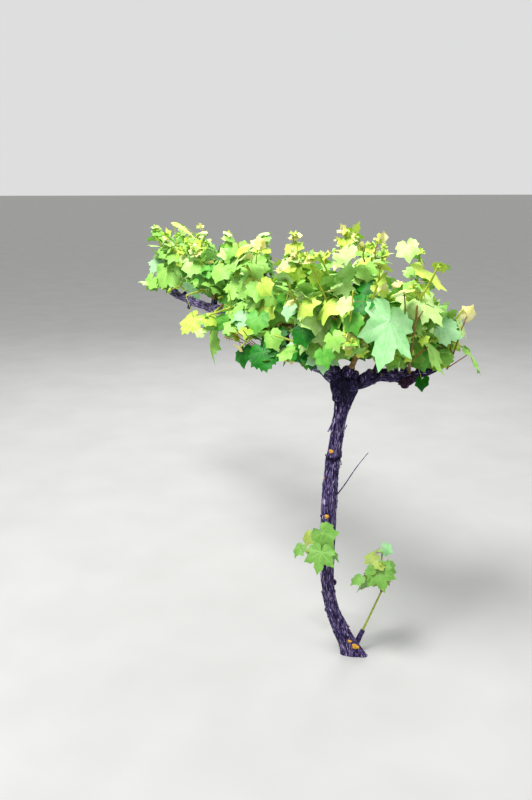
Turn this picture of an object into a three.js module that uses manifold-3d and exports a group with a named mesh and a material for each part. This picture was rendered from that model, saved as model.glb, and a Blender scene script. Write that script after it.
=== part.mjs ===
// A grapevine in spring leaf, trained on one stem: a crooked trunk with a flared foot, a swollen
// head, a long arm that lies along the row and a short arm across it, and the leafy shoots of this
// year that rise from the spurs on both arms. Millimetres, +Z up. The long arm runs towards -X and
// the short arm towards +Y. The origin is at the middle of the trunk's flat cut, at ground level.
import * as THREE from "three";
import { mergeVertices } from "three/addons/utils/BufferGeometryUtils.js";
import Module from "manifold-3d";

const wasm = await Module();
wasm.setup();

// Driving dimensions of the wood.
const GAP = 0.3; // clear space where one solid meets the next
const BELOW_GROUND = 40; // how far the trunk's line starts below its flat cut
const HEAD = [-26, -50, 905]; // middle of the head, where the arms part
const WAIST_RADIUS = 20; // trunk at its thinnest, at mid height
const FLARE_RADIUS = 14; // what the root flare adds at ground level
const FLARE_HEIGHT = 60; // over which the flare fades
const HEAD_RADIUS = 21; // what the swollen head adds
const HEAD_SWELL_HEIGHT = 52;
const FLUTE_DEPTH = 0.09; // ridges down the trunk, as a share of its radius
const TRUNK_SIDES = 12;
const TRUNK_STEPS = 30;
// The trunk's crooked line: it leaves the ground leaning, straightens, and sways back to the head.
const TRUNK_LINE = [
  [3, 6, -BELOW_GROUND],
  [0, 0, 0],
  [-24, -47, 102],
  [-37, -78, 214],
  [-42, -83, 430],
  [-42, -80, 600],
  [-34, -64, 760],
  [-26, -50, 860],
  [-24, -48, 935],
];
const LONG_ARM_LINE = [
  HEAD,
  [-105, -52, 922],
  [-290, -46, 944],
  [-500, -55, 972],
  [-700, -46, 992],
  [-860, -52, 1008],
  [-1080, -44, 1000],
  [-1300, -54, 1008],
  [-1480, -48, 1016],
];
const LONG_ARM_RADII = [24, 13]; // where it leaves the head, and at its tip
const SHORT_ARM_LINE = [
  HEAD,
  [-20, 0, 903],
  [-30, 70, 915],
  [-22, 130, 909],
  [-26, 182, 896],
  [-34, 250, 905],
  [-26, 315, 924],
];
const SHORT_ARM_RADII = [21, 12];
const ARM_ROOT = 74; // how far along its line each arm's first length belongs to the head
const COLLAR = { swell: 8, length: 40 }; // how much an arm thickens into the head, and over what length
const ARM_SIDES = 8;
const ARM_STEP = 44; // length of wood between two rings
const GNARL = 0.16; // how much an arm's radius swells and narrows, as a share
const SHORT_ARM_KNOB = { at: 232, swell: 9, length: 24 }; // the burl that its middle spur stands on
const SPUR_RADII = [14, 11]; // a short stub of old wood that carries one mass
const SPUR_RISE = 24; // how far a spur stands out of its arm

// Driving dimensions of this year's growth. A share runs from 0 at a shoot's foot to 1 at its tip.
const STEM_LENGTH = 34;
const STEM_RADII = [9, 7];
const SHOOT_RADII = [6, 3.2];
const SHOOT_STEPS = 3;
const SHOOT_LIFT = 0.55; // how strongly a rising shoot turns upwards as it grows
const RISER_LEAN = [10, 46]; // degrees from upright
// Side shoots, and how strongly they sag: low ones, and on the head and the knob ones that stay up.
const LOW_SIDES = { lean: [70, 102], sag: 1 };
const HIGH_SIDES = { lean: [56, 82], sag: 0.1 };
const FIRST_NODE = 30; // from a shoot's foot to its first leaf
const INTERNODE = 48;
const SHOOT_ROOM = 12; // the least distance between the shoots of two masses, middle to middle
const TIP_BUNCH = 20; // the end of a shoot, where its youngest leaves stand close together
const TIP_SHARES = [0.93, 0.975];
const BLADE_LENGTH = 96; // of the largest leaves, from the stalk to the tip
const BLADE_THICKNESS = 0.03; // as a share of the blade's length
const PETIOLE_RADIUS = 1.7;
const PETIOLE_SHARE = 0.7; // a leaf's stalk, as a share of its blade
const OLD_DROOP = [36, 82]; // degrees below level that a blade's tip points, at a shoot's foot
const YOUNG_DROOP = [-25, 40]; // and at its tip
const LARGE_BLADE = 92; // a blade at least this long shows five lobes
const SMALL_BLADE = 58; // a blade shorter than this is a plain diamond without a stalk
const BLADE_REACH = 0.53; // radius of the disc that stands for a blade when leaves are kept apart
// How far a leaf that meets another is turned about its shoot.
const TURNS = [0, 0.4, -0.4, 0.8, -0.8, 1.3, -1.3, 1.9, -1.9];
const GUARD = 0.9; // how much a leaf is thickened when it is kept clear of other solids

// The spurs, by their distance from the head along each arm. Each carries one mass of leaves.
const LONG_ARM_SPURS = [150, 355, 560, 765, 970, 1175, 1385];
const SHORT_ARM_SPURS = [118, 225, 345];
const LONG_ARM_SPREAD = [230, 250, 290, 280, 200, 160, 130]; // how long each mass's side shoots grow
// How far leaves hang below the end of their spur beside the old wood, and how much higher they stay
// for each length away from it. They leave the head and the short arm's knob bare.
const SHORT_ARM_HANG = [25, 30, 110];
const SHORT_ARM_CLEAR = [0.27, 0.27, 0];
const HEAD_HANG = 35;
const HEAD_CLEAR = 0.3;
const UP = [0, 0, 1];

// Small vector helpers on plain arrays.
const add = (a, b, k = 1) => a.map((v, i) => v + b[i] * k);
const times = (a, k) => a.map((v) => v * k);
const dot = (a, b) => a[0] * b[0] + a[1] * b[1] + a[2] * b[2];
const cross = (a, b) => [
  a[1] * b[2] - a[2] * b[1],
  a[2] * b[0] - a[0] * b[2],
  a[0] * b[1] - a[1] * b[0],
];
const unit = (a) => times(a, 1 / Math.hypot(...a));
const mix = (a, b, t) => a + (b - a) * t;
const radians = (degrees) => (degrees * Math.PI) / 180;

// The same stream of numbers from 0 to 1 for the same seed.
function randomFrom(seed) {
  let state = seed >>> 0;
  return () => {
    state = (state + 0x6d2b79f5) >>> 0;
    let t = state;
    t = Math.imul(t ^ (t >>> 15), t | 1);
    t ^= t + Math.imul(t ^ (t >>> 7), t | 61);
    return ((t ^ (t >>> 14)) >>> 0) / 4294967296;
  };
}

// A closed solid from vertices and triangles.
function solidFrom(vertices, triangles) {
  const geometry = new THREE.BufferGeometry();
  geometry.setAttribute("position", new THREE.Float32BufferAttribute(vertices.flat(), 3));
  geometry.setIndex(triangles.flat());
  const merged = mergeVertices(geometry, 1e-4);
  return new wasm.Manifold(
    new wasm.Mesh({
      numProp: 3,
      vertProperties: merged.attributes.position.array,
      triVerts: new Uint32Array(merged.index.array),
    }),
  );
}

// A limb along a line of points: a ring of corners at each, closed by a flat cap at each end.
function limb(points, radiusAt, sides) {
  const vertices = [];
  const triangles = [];
  let side = unit(cross(add(points[1], points[0], -1), [0.31, 0.87, 0.38]));
  points.forEach((point, i) => {
    const before = points[Math.max(i - 1, 0)];
    const after = points[Math.min(i + 1, points.length - 1)];
    const along = unit(add(after, before, -1));
    side = unit(add(side, along, -dot(side, along)));
    const other = cross(along, side);
    for (let k = 0; k < sides; k++) {
      const angle = (2 * Math.PI * k) / sides;
      const r = radiusAt(i / (points.length - 1), angle);
      vertices.push(add(add(point, side, r * Math.cos(angle)), other, r * Math.sin(angle)));
    }
  });
  const rings = points.length;
  for (let i = 0; i + 1 < rings; i++)
    for (let k = 0; k < sides; k++) {
      const a = i * sides + k;
      const b = i * sides + ((k + 1) % sides);
      triangles.push([a, b, b + sides], [a, b + sides, a + sides]);
    }
  const last = (rings - 1) * sides;
  for (let k = 1; k + 1 < sides; k++) {
    triangles.push([0, k + 1, k]);
    triangles.push([last, last + k, last + k + 1]);
  }
  return solidFrom(vertices, triangles);
}

// Points at even spacing on a smooth line, from one distance along it to another.
function stretch(line, from, to, step) {
  const curve = new THREE.CatmullRomCurve3(line.map((p) => new THREE.Vector3(...p)), false, "centripetal");
  curve.arcLengthDivisions = 400;
  const whole = curve.getLength();
  const end = Math.min(to, whole);
  const count = Math.max(1, Math.round((end - from) / step));
  const points = [];
  for (let i = 0; i <= count; i++)
    points.push(curve.getPointAt(Math.min(1, mix(from, end, i / count) / whole)).toArray());
  return points;
}

const lengthOf = (line) =>
  new THREE.CatmullRomCurve3(line.map((p) => new THREE.Vector3(...p)), false, "centripetal").getLength();

const ARMS = {
  long: {
    line: LONG_ARM_LINE,
    radii: LONG_ARM_RADII,
    length: lengthOf(LONG_ARM_LINE),
    knots: [],
    seed: 1,
  },
  short: {
    line: SHORT_ARM_LINE,
    radii: SHORT_ARM_RADII,
    length: lengthOf(SHORT_ARM_LINE),
    knots: [SHORT_ARM_KNOB],
    seed: 4,
  },
};

// How thick an arm is at a distance along it: an even taper with old swellings.
function armRadius(arm, distance) {
  const { radii, length, knots, seed } = arm;
  const taper = mix(radii[0], radii[1], distance / length);
  const gnarl = Math.sin(distance / 31 + seed) * 0.6 + Math.sin(distance / 13.7 + 2 * seed) * 0.4;
  const knot = (k) => k.swell * Math.exp(-(((distance - k.at) / k.length) ** 2));
  const collar = COLLAR.swell * Math.exp(-distance / COLLAR.length);
  return taper * (1 + GNARL * gnarl) + collar + knots.reduce((sum, k) => sum + knot(k), 0);
}

// An arm, cut square across its line at the root: the first length for the head, the rest for the arm.
function armHalves(arm) {
  const whole = limb(
    stretch(arm.line, 0, arm.length, ARM_STEP),
    (t, angle) => armRadius(arm, t * arm.length) * (1 + 0.07 * Math.sin(3 * angle + 9 * t)),
    ARM_SIDES,
  );
  const [cut, beyond] = stretch(arm.line, ARM_ROOT, ARM_ROOT + 1, 1);
  const along = unit(add(beyond, cut, -1));
  return [
    whole.trimByPlane(times(along, -1), -dot(along, cut)),
    whole.trimByPlane(along, dot(along, cut) + GAP),
  ];
}

// The trunk, with its foot, head and the first length of each arm, in one piece.
function trunkRadius(height, angle) {
  const flare = FLARE_RADIUS * Math.exp(-Math.max(height, 0) / FLARE_HEIGHT);
  const swell = HEAD_RADIUS * Math.exp(-(((height - HEAD[2]) / HEAD_SWELL_HEIGHT) ** 2));
  const sway = 2.2 * Math.cos((height / 560) * 2 * Math.PI + 0.4);
  const toes = 1 + (0.22 * flare / FLARE_RADIUS) * Math.cos(3 * angle + 0.8);
  const flutes = 1 + FLUTE_DEPTH * Math.sin(5 * angle + height / 150);
  return (WAIST_RADIUS + flare + swell + sway) * toes * flutes;
}

// The stub of old wood that stands out of an arm at one spur, and where it ends.
function spurPlace(arm, distance, tilt) {
  const [foot] = stretch(arm.line, distance, distance + 1, 1);
  const out = unit([tilt[0], tilt[1], 1]);
  const end = add(foot, out, mix(...arm.radii, distance / arm.length) + SPUR_RISE);
  return { foot, out, end };
}

function spurStub(mass) {
  return limb([mass.place.foot, mass.place.end], (t) => mix(...SPUR_RADII, t) * mass.thick, 6);
}

// Half of a blade's outline, as shares of its length, from the stalk to the tip: for the largest
// leaves the basal lobe, lower lobe, bay, upper lobe and bay; for the others fewer corners.
const HALF_LARGE = [
  [0.34, -0.34],
  [0.68, -0.04],
  [0.46, 0.2],
  [0.76, 0.56],
  [0.3, 0.53],
];
const HALF_MIDDLE = [
  [0.52, -0.26],
  [0.72, 0.42],
  [0.32, 0.52],
];
const HALF_SMALL = [[0.48, 0.36]];

// The corners of one blade, with its tip bent down and its sides folded along the midrib.
function bladeRim(leaf, half, grow) {
  const { base, tip, face, size, fold } = leaf;
  const across = cross(tip, face);
  const at = ([x, y]) => {
    const droop = -fold * Math.abs(x) - 0.16 * y * y;
    const wide = 1 + (2 * grow) / size;
    return add(add(add(base, across, x * size * wide), tip, y * size * wide), face, droop * size);
  };
  const right = half.map(([x, y]) => at([x, y]));
  const left = half.map(([x, y]) => at([-x, y]));
  return [...right, at([0, 1]), ...left.reverse()];
}

// A leaf as one closed solid: a blade that is thickest at its middle, on a three-sided stalk.
function stalkedLeaf(leaf, grow) {
  const { node, base, tip, face, size } = leaf;
  const across = cross(tip, face);
  const stalk = unit(add(base, node, -1));
  const side = unit(add(across, stalk, -dot(across, stalk)));
  const under = cross(stalk, side);
  const w = PETIOLE_RADIUS + grow;
  const rim = bladeRim(leaf, size < LARGE_BLADE ? HALF_MIDDLE : HALF_LARGE, grow);
  const middle = add(base, tip, 0.3 * size);
  const thick = (BLADE_THICKNESS * size) / 2 + grow;
  const vertices = [
    add(middle, face, thick),
    add(middle, face, -thick),
    add(base, side, w),
    add(base, side, -w),
    add(base, under, 1.5 * w),
    add(node, side, w),
    add(node, side, -w),
    add(node, under, 1.5 * w),
    ...rim,
  ];
  const [top, bottom, right, left, low, footRight, footLeft, footLow] = [0, 1, 2, 3, 4, 5, 6, 7];
  const ring = [right, ...rim.map((_, i) => 8 + i), left];
  const triangles = [
    [top, left, right],
    [bottom, low, left],
    [bottom, right, low],
    [left, footLeft, footRight],
    [left, footRight, right],
    [right, footRight, footLow],
    [right, footLow, low],
    [low, footLow, footLeft],
    [low, footLeft, left],
    [footLeft, footLow, footRight],
  ];
  for (let i = 0; i + 1 < ring.length; i++) {
    triangles.push([top, ring[i], ring[i + 1]]);
    triangles.push([bottom, ring[i + 1], ring[i]]);
  }
  return solidFrom(vertices, triangles);
}

// A young leaf of eight faces that grows straight out of its shoot.
function youngLeaf(leaf, grow) {
  const { node, base, face, size } = leaf;
  const rim = bladeRim(leaf, HALF_SMALL, grow);
  const middle = add(base, leaf.tip, 0.3 * size);
  const thick = (BLADE_THICKNESS * size) / 2 + grow;
  const vertices = [add(middle, face, thick), add(middle, face, -thick), node, ...rim];
  const ring = [2, 3, 4, 5];
  const triangles = ring.flatMap((corner, i) => {
    const next = ring[(i + 1) % ring.length];
    return [
      [0, corner, next],
      [1, next, corner],
    ];
  });
  return solidFrom(vertices, triangles);
}

function leafSolid(leaf, grow = 0) {
  return leaf.size < SMALL_BLADE ? youngLeaf(leaf, grow) : stalkedLeaf(leaf, grow);
}

// One shoot: the line it follows, and what each of its leaves draws from the stream of numbers.
// Every leaf draws the same count of numbers, so that one that is left out changes no other.
function growShoot(foot, direction, length, side, mass, random) {
  const draws = Array.from({ length: 3 }, () => random());
  const end = unit([
    direction[0] + 0.3 * (draws[0] - 0.5),
    direction[1] + 0.3 * (draws[1] - 0.5),
    direction[2] + (side ? -mass.low.sag : SHOOT_LIFT),
  ]);
  const curveAt = (t) => {
    const bent = length * t * t * 0.5;
    return add(add(foot, direction, length * t - bent), end, bent);
  };
  const points = Array.from({ length: SHOOT_STEPS + 1 }, (_, i) => curveAt(i / SHOOT_STEPS));
  const nodeAt = (t) => {
    const i = Math.min(Math.floor(t * SHOOT_STEPS), SHOOT_STEPS - 1);
    return add(points[i], add(points[i + 1], points[i], -1), t * SHOOT_STEPS - i);
  };
  const leaves = [];
  const spaced = Math.floor((length - FIRST_NODE - TIP_BUNCH) / INTERNODE) + 1;
  for (let j = 0; j < spaced + TIP_SHARES.length; j++) {
    const share = j < spaced ? (FIRST_NODE + j * INTERNODE) / length : TIP_SHARES[j - spaced];
    const numbers = Array.from({ length: 7 }, () => random());
    const angle = Math.PI * (draws[2] + j) + (numbers[0] - 0.5) * 1.2;
    leaves.push({ node: nodeAt(share), share, angle, numbers, side, direction, scale: mass.scale });
  }
  return { points, leaves };
}

// Where one leaf's blade hangs: its stalk's end, the way its tip points and the way it faces.
function hangLeaf(leaf, turn) {
  const { node, share, numbers, side, direction, scale } = leaf;
  const [, , largeness, drooping, climbing, stalkDraw, rolling] = numbers;
  const angle = leaf.angle + turn;
  const outward = unit([
    Math.cos(angle) + 0.8 * direction[0],
    Math.sin(angle) + 0.8 * direction[1] + 1e-6,
    0,
  ]);
  const grown = Math.min(0.74 + 1.3 * share, 1) * (0.1 + 0.9 * Math.pow(1.01 - share, 0.38));
  const size = BLADE_LENGTH * scale * grown * mix(0.86, 1.12, largeness);
  const young = share * share;
  const droop = radians(mix(mix(...OLD_DROOP, drooping), mix(...YOUNG_DROOP, drooping), young));
  const climb = mix(side ? 0 : 0.25, 0.9, young) + 0.5 * (climbing - 0.5);
  const stalk = unit([outward[0], outward[1], climb]);
  const stalkLength = size < SMALL_BLADE ? 0.12 : PETIOLE_SHARE * mix(0.75, 1.25, stalkDraw);
  const base = add(node, stalk, size * stalkLength);
  const tip = [outward[0] * Math.cos(droop), outward[1] * Math.cos(droop), -Math.sin(droop)];
  const upright = unit(add(UP, tip, -dot(UP, tip)));
  const roll = (rolling - 0.5) * 1.1;
  const face = add(times(upright, Math.cos(roll)), cross(tip, upright), Math.sin(roll));
  const centre = add(base, tip, 0.3 * size);
  return { share, node, base, tip, face, size, centre, fold: 0.1 + 0.2 * rolling, reach: BLADE_REACH * size };
}

// The shoots of one mass: some that rise and spread, and low ones that lean out to both sides.
function growMass(mass) {
  const random = randomFrom(mass.seed);
  const foot = add(mass.place.end, mass.place.out, mass.stem - 6);
  const phase = random() * 2 * Math.PI;
  const shoots = [];
  for (let k = 0; k < mass.risers + mass.sides; k++) {
    const side = k >= mass.risers;
    const draws = Array.from({ length: 3 }, () => random());
    const around = phase + (2 * Math.PI * k) / mass.risers + (draws[0] - 0.5) * 0.8;
    const outwards = (k % 2 ? -Math.PI / 2 : Math.PI / 2) + mass.turn + (draws[0] - 0.5) * 1.2;
    const azimuth = side ? outwards : around;
    const lean = radians(mix(...(side ? mass.low.lean : RISER_LEAN), draws[1]));
    const length = (side ? mass.spread : mass.height) * mix(0.8, 1.08, draws[2]);
    const direction = unit([
      Math.sin(lean) * Math.cos(azimuth) + mass.lean[0],
      Math.sin(lean) * Math.sin(azimuth) + mass.lean[1],
      Math.cos(lean),
    ]);
    shoots.push(growShoot(foot, direction, length, side, mass, random));
  }
  return shoots;
}

// Whether two blades, taken as discs, cut through each other.
function bladesMeet(a, b) {
  const between = add(b.centre, a.centre, -1);
  const reach = a.reach + b.reach;
  if (dot(between, between) > reach * reach) return false;
  const line = cross(a.face, b.face);
  const sine = Math.hypot(...line);
  if (sine < 0.1) return Math.abs(dot(between, a.face)) < 0.1 * reach;
  const cosine = dot(a.face, b.face);
  const awayA = dot(between, b.face) / sine;
  const awayB = -dot(between, a.face) / sine;
  if (Math.abs(awayA) > a.reach || Math.abs(awayB) > b.reach) return false;
  const nearA = add(a.centre, add(b.face, a.face, -cosine), awayA / sine);
  const nearB = add(b.centre, add(a.face, b.face, -cosine), awayB / sine);
  const apart = Math.abs(dot(add(nearB, nearA, -1), line)) / sine;
  return apart < Math.sqrt(a.reach ** 2 - awayA ** 2) + Math.sqrt(b.reach ** 2 - awayB ** 2);
}

// How near two straight lengths come to each other.
function lengthsApart(a, b) {
  const u = add(a.to, a.from, -1);
  const v = add(b.to, b.from, -1);
  const w = add(a.from, b.from, -1);
  const clamp = (t) => Math.min(1, Math.max(0, t));
  const level = dot(u, v);
  const twist = Math.max(dot(u, u) * dot(v, v) - level * level, 1e-9);
  const first = clamp((level * dot(v, w) - dot(v, v) * dot(u, w)) / twist);
  const second = clamp((level * first + dot(v, w)) / dot(v, v));
  const nearest = clamp((level * second - dot(u, w)) / dot(u, u));
  return Math.hypot(...add(add(w, u, nearest), v, -second));
}

// Whether a straight length of shoot passes through a blade.
function piercesBlade(from, to, blade) {
  const a = dot(add(from, blade.centre, -1), blade.face);
  const b = dot(add(to, blade.centre, -1), blade.face);
  if (a * b > 0) return false;
  const hit = add(from, add(to, from, -1), a / (a - b || 1));
  return Math.hypot(...add(hit, blade.centre, -1)) < blade.reach;
}

// Whether any part of a blade comes too close to an old limb's middle line.
function nearLimb(blade, limbLine) {
  const across = cross(blade.tip, blade.face);
  const spots = [
    blade.centre,
    add(blade.base, blade.tip, blade.size),
    add(blade.centre, across, blade.reach),
    add(blade.centre, across, -blade.reach),
  ];
  return spots.some((spot) =>
    limbLine.points.some((p) => Math.hypot(...add(spot, p, -1)) < limbLine.radius + 6),
  );
}

// Whether a blade stays in its own mass's space, which is narrow along the limb that carries it.
function inSpace(blade, mass) {
  const away = add(add(blade.base, blade.tip, blade.size), mass.place.end, -1);
  const along = Math.abs(away[0] * Math.cos(mass.turn) + away[1] * Math.sin(mass.turn));
  return along < mass.room && away[2] > mass.clear * Math.hypot(away[0], away[1]) - mass.hang;
}

const meets = (a, b) => {
  const p = a.boundingBox();
  const q = b.boundingBox();
  for (let i = 0; i < 3; i++) if (p.max[i] < q.min[i] || q.max[i] < p.min[i]) return false;
  return a.intersect(b).numTri() > 0;
};
const join = (solids) => solids.reduce((a, b) => a.add(b));

// Where the masses stand: on the spurs of both arms, on the head, and two small ones on the trunk.
const masses = [];
LONG_ARM_SPURS.forEach((distance, i) => {
  const t = i / (LONG_ARM_SPURS.length - 1);
  masses.push({
    name: "long_arm_leaves_" + (i + 1),
    limb: "long_arm",
    place: spurPlace(ARMS.long, distance, [0.12 * Math.sin(i * 2.1), 0.28 * Math.cos(i * 2.7)]),
    seed: 101 + i,
    risers: i < 4 ? 3 : 4,
    sides: i < 4 ? 4 : 2,
    height: mix(330, 235, t),
    spread: LONG_ARM_SPREAD[i],
    stem: STEM_LENGTH,
    turn: 0,
    lean: [0, 0],
    room: 190,
    hang: mix(230, 130, t),
    clear: 0,
    low: LOW_SIDES,
    scale: 1,
    thick: 1,
  });
});
SHORT_ARM_SPURS.forEach((distance, i) => {
  masses.push({
    name: "short_arm_leaves_" + (i + 1),
    limb: "short_arm",
    place: spurPlace(ARMS.short, distance, [0.3 * Math.cos(i * 2.2), 0.1]),
    seed: 201 + i,
    risers: 3,
    sides: [3, 3, 2][i],
    height: [385, 350, 165][i],
    spread: [190, 190, 110][i],
    stem: STEM_LENGTH,
    turn: Math.PI / 2,
    lean: [0, [-0.2, -0.2, -0.1][i]],
    room: 170,
    hang: SHORT_ARM_HANG[i],
    clear: SHORT_ARM_CLEAR[i],
    low: i < 2 ? HIGH_SIDES : LOW_SIDES,
    scale: 1,
    thick: 1,
  });
});
const HEAD_SPUR_TILTS = [
  [-0.3, -0.45],
  [0.55, 0.1],
];
const HEAD_SEEDS = [313, 324];
HEAD_SPUR_TILTS.forEach((tilt, i) => {
  const out = unit([...tilt, 1]);
  masses.push({
    name: "head_leaves_" + (i + 1),
    limb: "trunk",
    place: { foot: HEAD, out, end: add(HEAD, out, 66) },
    seed: HEAD_SEEDS[i],
    risers: 4,
    sides: 3,
    height: 355,
    spread: 190,
    stem: STEM_LENGTH,
    turn: i ? 0.4 : -0.4,
    lean: times(tilt, 0.3),
    room: 260,
    hang: HEAD_HANG,
    clear: HEAD_CLEAR,
    low: HIGH_SIDES,
    scale: 1,
    thick: 1,
  });
});
const TRUNK_SPROUT = { foot: [-42, -82, 330], out: unit([0.2, -0.85, 0.4]), length: 36 };
const BASE_SUCKER = { foot: [2, 5, 28], out: unit([0.17, 0.33, 0.93]), length: 60 };
[TRUNK_SPROUT, BASE_SUCKER].forEach((sprout, i) => {
  masses.push({
    name: i ? "base_sucker" : "trunk_sprout",
    limb: "trunk",
    place: { foot: sprout.foot, out: sprout.out, end: add(sprout.foot, sprout.out, sprout.length) },
    seed: i ? 402 : 407,
    risers: i ? 2 : 3,
    sides: 0,
    height: i ? 125 : 95,
    spread: 0,
    stem: i ? 155 : 16,
    turn: 0,
    lean: i ? [0, 0.1] : [0.3, -0.4],
    room: 200,
    hang: 150,
    clear: 0,
    low: LOW_SIDES,
    scale: i ? 1.05 : 0.8,
    thick: 0.65,
  });
});

// The wood.
const trunkPoints = stretch(TRUNK_LINE, 0, Infinity, lengthOf(TRUNK_LINE) / TRUNK_STEPS);
const trunkTop = trunkPoints[trunkPoints.length - 1][2];
const bareTrunk = limb(
  trunkPoints,
  (t, angle) => trunkRadius(mix(-BELOW_GROUND, trunkTop, t), angle),
  TRUNK_SIDES,
).trimByPlane([0, 0, 1], 0);
const spursOf = (limbName) => masses.filter((m) => m.limb === limbName).map(spurStub);
const [longArmRoot, longArm] = armHalves(ARMS.long);
const [shortArmRoot, shortArm] = armHalves(ARMS.short);
const wood = {
  trunk: join([bareTrunk, longArmRoot, shortArmRoot, ...spursOf("trunk")]),
  long_arm: join([longArm, ...spursOf("long_arm")]),
  short_arm: join([shortArm, ...spursOf("short_arm")]),
};

const limbLines = [
  { points: stretch(TRUNK_LINE, 0, Infinity, 30), radius: 34 },
  { points: stretch(LONG_ARM_LINE, 0, Infinity, 20), radius: 24 },
  { points: stretch(SHORT_ARM_LINE, 0, Infinity, 20), radius: 22 },
];

// First every stem and shoot, so that leaves can be kept clear of all of them. A shoot that comes too
// near another mass's is left out with its leaves. The seeds are such that none meets an old limb.
const limbs = Object.values(wood);
for (const mass of masses) {
  const start = add(mass.place.end, mass.place.out, GAP);
  const top = add(mass.place.end, mass.place.out, mass.stem);
  mass.wood = [limb([start, top], (t) => mix(...STEM_RADII, t) * mass.thick, 6)];
  mass.stemLength = { from: start, to: top };
  mass.segments = [];
  mass.leaves = [];
}
for (const mass of masses) {
  const rivals = masses.filter((m) => m !== mass).flatMap((m) => [m.stemLength, ...m.segments]);
  for (const shoot of growMass(mass)) {
    const solid = limb(shoot.points, (t) => mix(...SHOOT_RADII, t), 3);
    const lengths = shoot.points.slice(1).map((to, i) => ({ from: shoot.points[i], to, shoot }));
    if (lengths.some((a) => rivals.some((b) => lengthsApart(a, b) < SHOOT_ROOM))) continue;
    if (limbs.some((s) => meets(solid, s))) continue;
    mass.wood.push(solid);
    mass.segments.push(...lengths);
    mass.leaves.push(...shoot.leaves.map((leaf) => ({ ...leaf, shoot })));
  }
}

// Then the leaves, one of each mass in turn, so that no mass crowds out its neighbour. A leaf that
// meets a blade, a shoot or an old limb is turned about its shoot, and left out if that is no help.
const segments = masses.flatMap((m) => m.segments);
const placed = [];
const isFree = (blade, mass, shoot) =>
  inSpace(blade, mass) &&
  !placed.some((other) => bladesMeet(blade, other)) &&
  !segments.some((s) => s.shoot !== shoot && piercesBlade(s.from, s.to, blade)) &&
  !limbLines.some((line) => nearLimb(blade, line));
const most = Math.max(...masses.map((m) => m.leaves.length));
for (let i = 0; i < most; i++)
  for (const mass of masses.filter((m) => i < m.leaves.length)) {
    const leaf = mass.leaves[i];
    const blade = TURNS.map((turn) => hangLeaf(leaf, turn)).find((b) => isFree(b, mass, leaf.shoot));
    if (blade) placed.push({ ...blade, mass });
  }

// Last the solids. A leaf whose solid still meets something that isn't its own shoot is left out.
for (const mass of masses) mass.kept = [];
for (const leaf of placed) {
  const solid = leafSolid(leaf);
  const guard = leafSolid(leaf, GUARD);
  const others = masses.filter((m) => m !== leaf.mass).flatMap((m) => [...m.wood, ...m.kept]);
  const blocked =
    [...limbs, ...others].some((s) => meets(guard, s) || meets(solid, s)) ||
    leaf.mass.kept.some((s) => meets(solid, s));
  if (!blocked) leaf.mass.kept.push(solid);
}

const BARK = { color: 0x5a4a63, roughness: 0.95, metalness: 0 };
const LEAF = { color: 0x7fc241, roughness: 0.6, metalness: 0 };

function meshOf(name, solid, look) {
  const made = solid.getMesh();
  const geometry = new THREE.BufferGeometry();
  geometry.setAttribute("position", new THREE.BufferAttribute(new Float32Array(made.vertProperties), 3));
  geometry.setIndex(new THREE.BufferAttribute(new Uint32Array(made.triVerts), 1));
  geometry.computeVertexNormals();
  const mesh = new THREE.Mesh(geometry, new THREE.MeshStandardMaterial(look));
  mesh.name = name;
  return mesh;
}

const vine = new THREE.Group();
for (const [name, solid] of Object.entries(wood)) vine.add(meshOf(name, solid, BARK));
for (const mass of masses) {
  const pieces = join([...mass.wood, ...mass.kept]).decompose();
  const whole = pieces.reduce((a, b) => (a.volume() > b.volume() ? a : b));
  vine.add(meshOf(mass.name, whole, LEAF));
}

export default vine;
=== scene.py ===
import math
from collections import defaultdict
from itertools import zip_longest

import bpy
import numpy as np
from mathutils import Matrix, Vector


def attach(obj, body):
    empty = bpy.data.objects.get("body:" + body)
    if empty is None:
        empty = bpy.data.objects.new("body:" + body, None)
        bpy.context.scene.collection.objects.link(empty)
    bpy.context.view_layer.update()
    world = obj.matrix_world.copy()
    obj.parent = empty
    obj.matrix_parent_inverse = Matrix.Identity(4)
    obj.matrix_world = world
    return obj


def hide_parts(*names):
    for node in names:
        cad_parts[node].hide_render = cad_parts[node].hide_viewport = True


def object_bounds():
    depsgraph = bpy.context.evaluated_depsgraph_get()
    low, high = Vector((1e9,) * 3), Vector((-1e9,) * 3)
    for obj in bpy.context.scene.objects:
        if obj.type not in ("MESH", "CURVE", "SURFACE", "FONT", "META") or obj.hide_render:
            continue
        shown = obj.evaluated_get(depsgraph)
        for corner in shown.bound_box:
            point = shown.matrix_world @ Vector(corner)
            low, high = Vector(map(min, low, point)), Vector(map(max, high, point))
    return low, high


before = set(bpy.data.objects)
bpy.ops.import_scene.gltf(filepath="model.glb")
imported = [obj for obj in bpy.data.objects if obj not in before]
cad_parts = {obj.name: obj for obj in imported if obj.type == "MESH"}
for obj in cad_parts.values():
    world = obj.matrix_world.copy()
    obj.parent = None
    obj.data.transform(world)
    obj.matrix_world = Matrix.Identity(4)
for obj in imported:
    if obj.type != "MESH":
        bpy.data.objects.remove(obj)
cad_low, cad_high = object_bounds()
MM = 0.001

# The camera, fitted to the photograph: where it stands in metres, and how it looks.
CAMERA_PLACE = (1.8648, -1.2844, 1.4556)
CAMERA_HEADING = (-0.8890, 0.4579)
CAMERA_PITCH = math.radians(15)
CAMERA_LENS = 35
CAMERA_SENSOR = 36
PHOTO_SIZE = (532, 800)
FOCAL = CAMERA_LENS / CAMERA_SENSOR * PHOTO_SIZE[1]  # in the photograph's pixels

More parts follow.
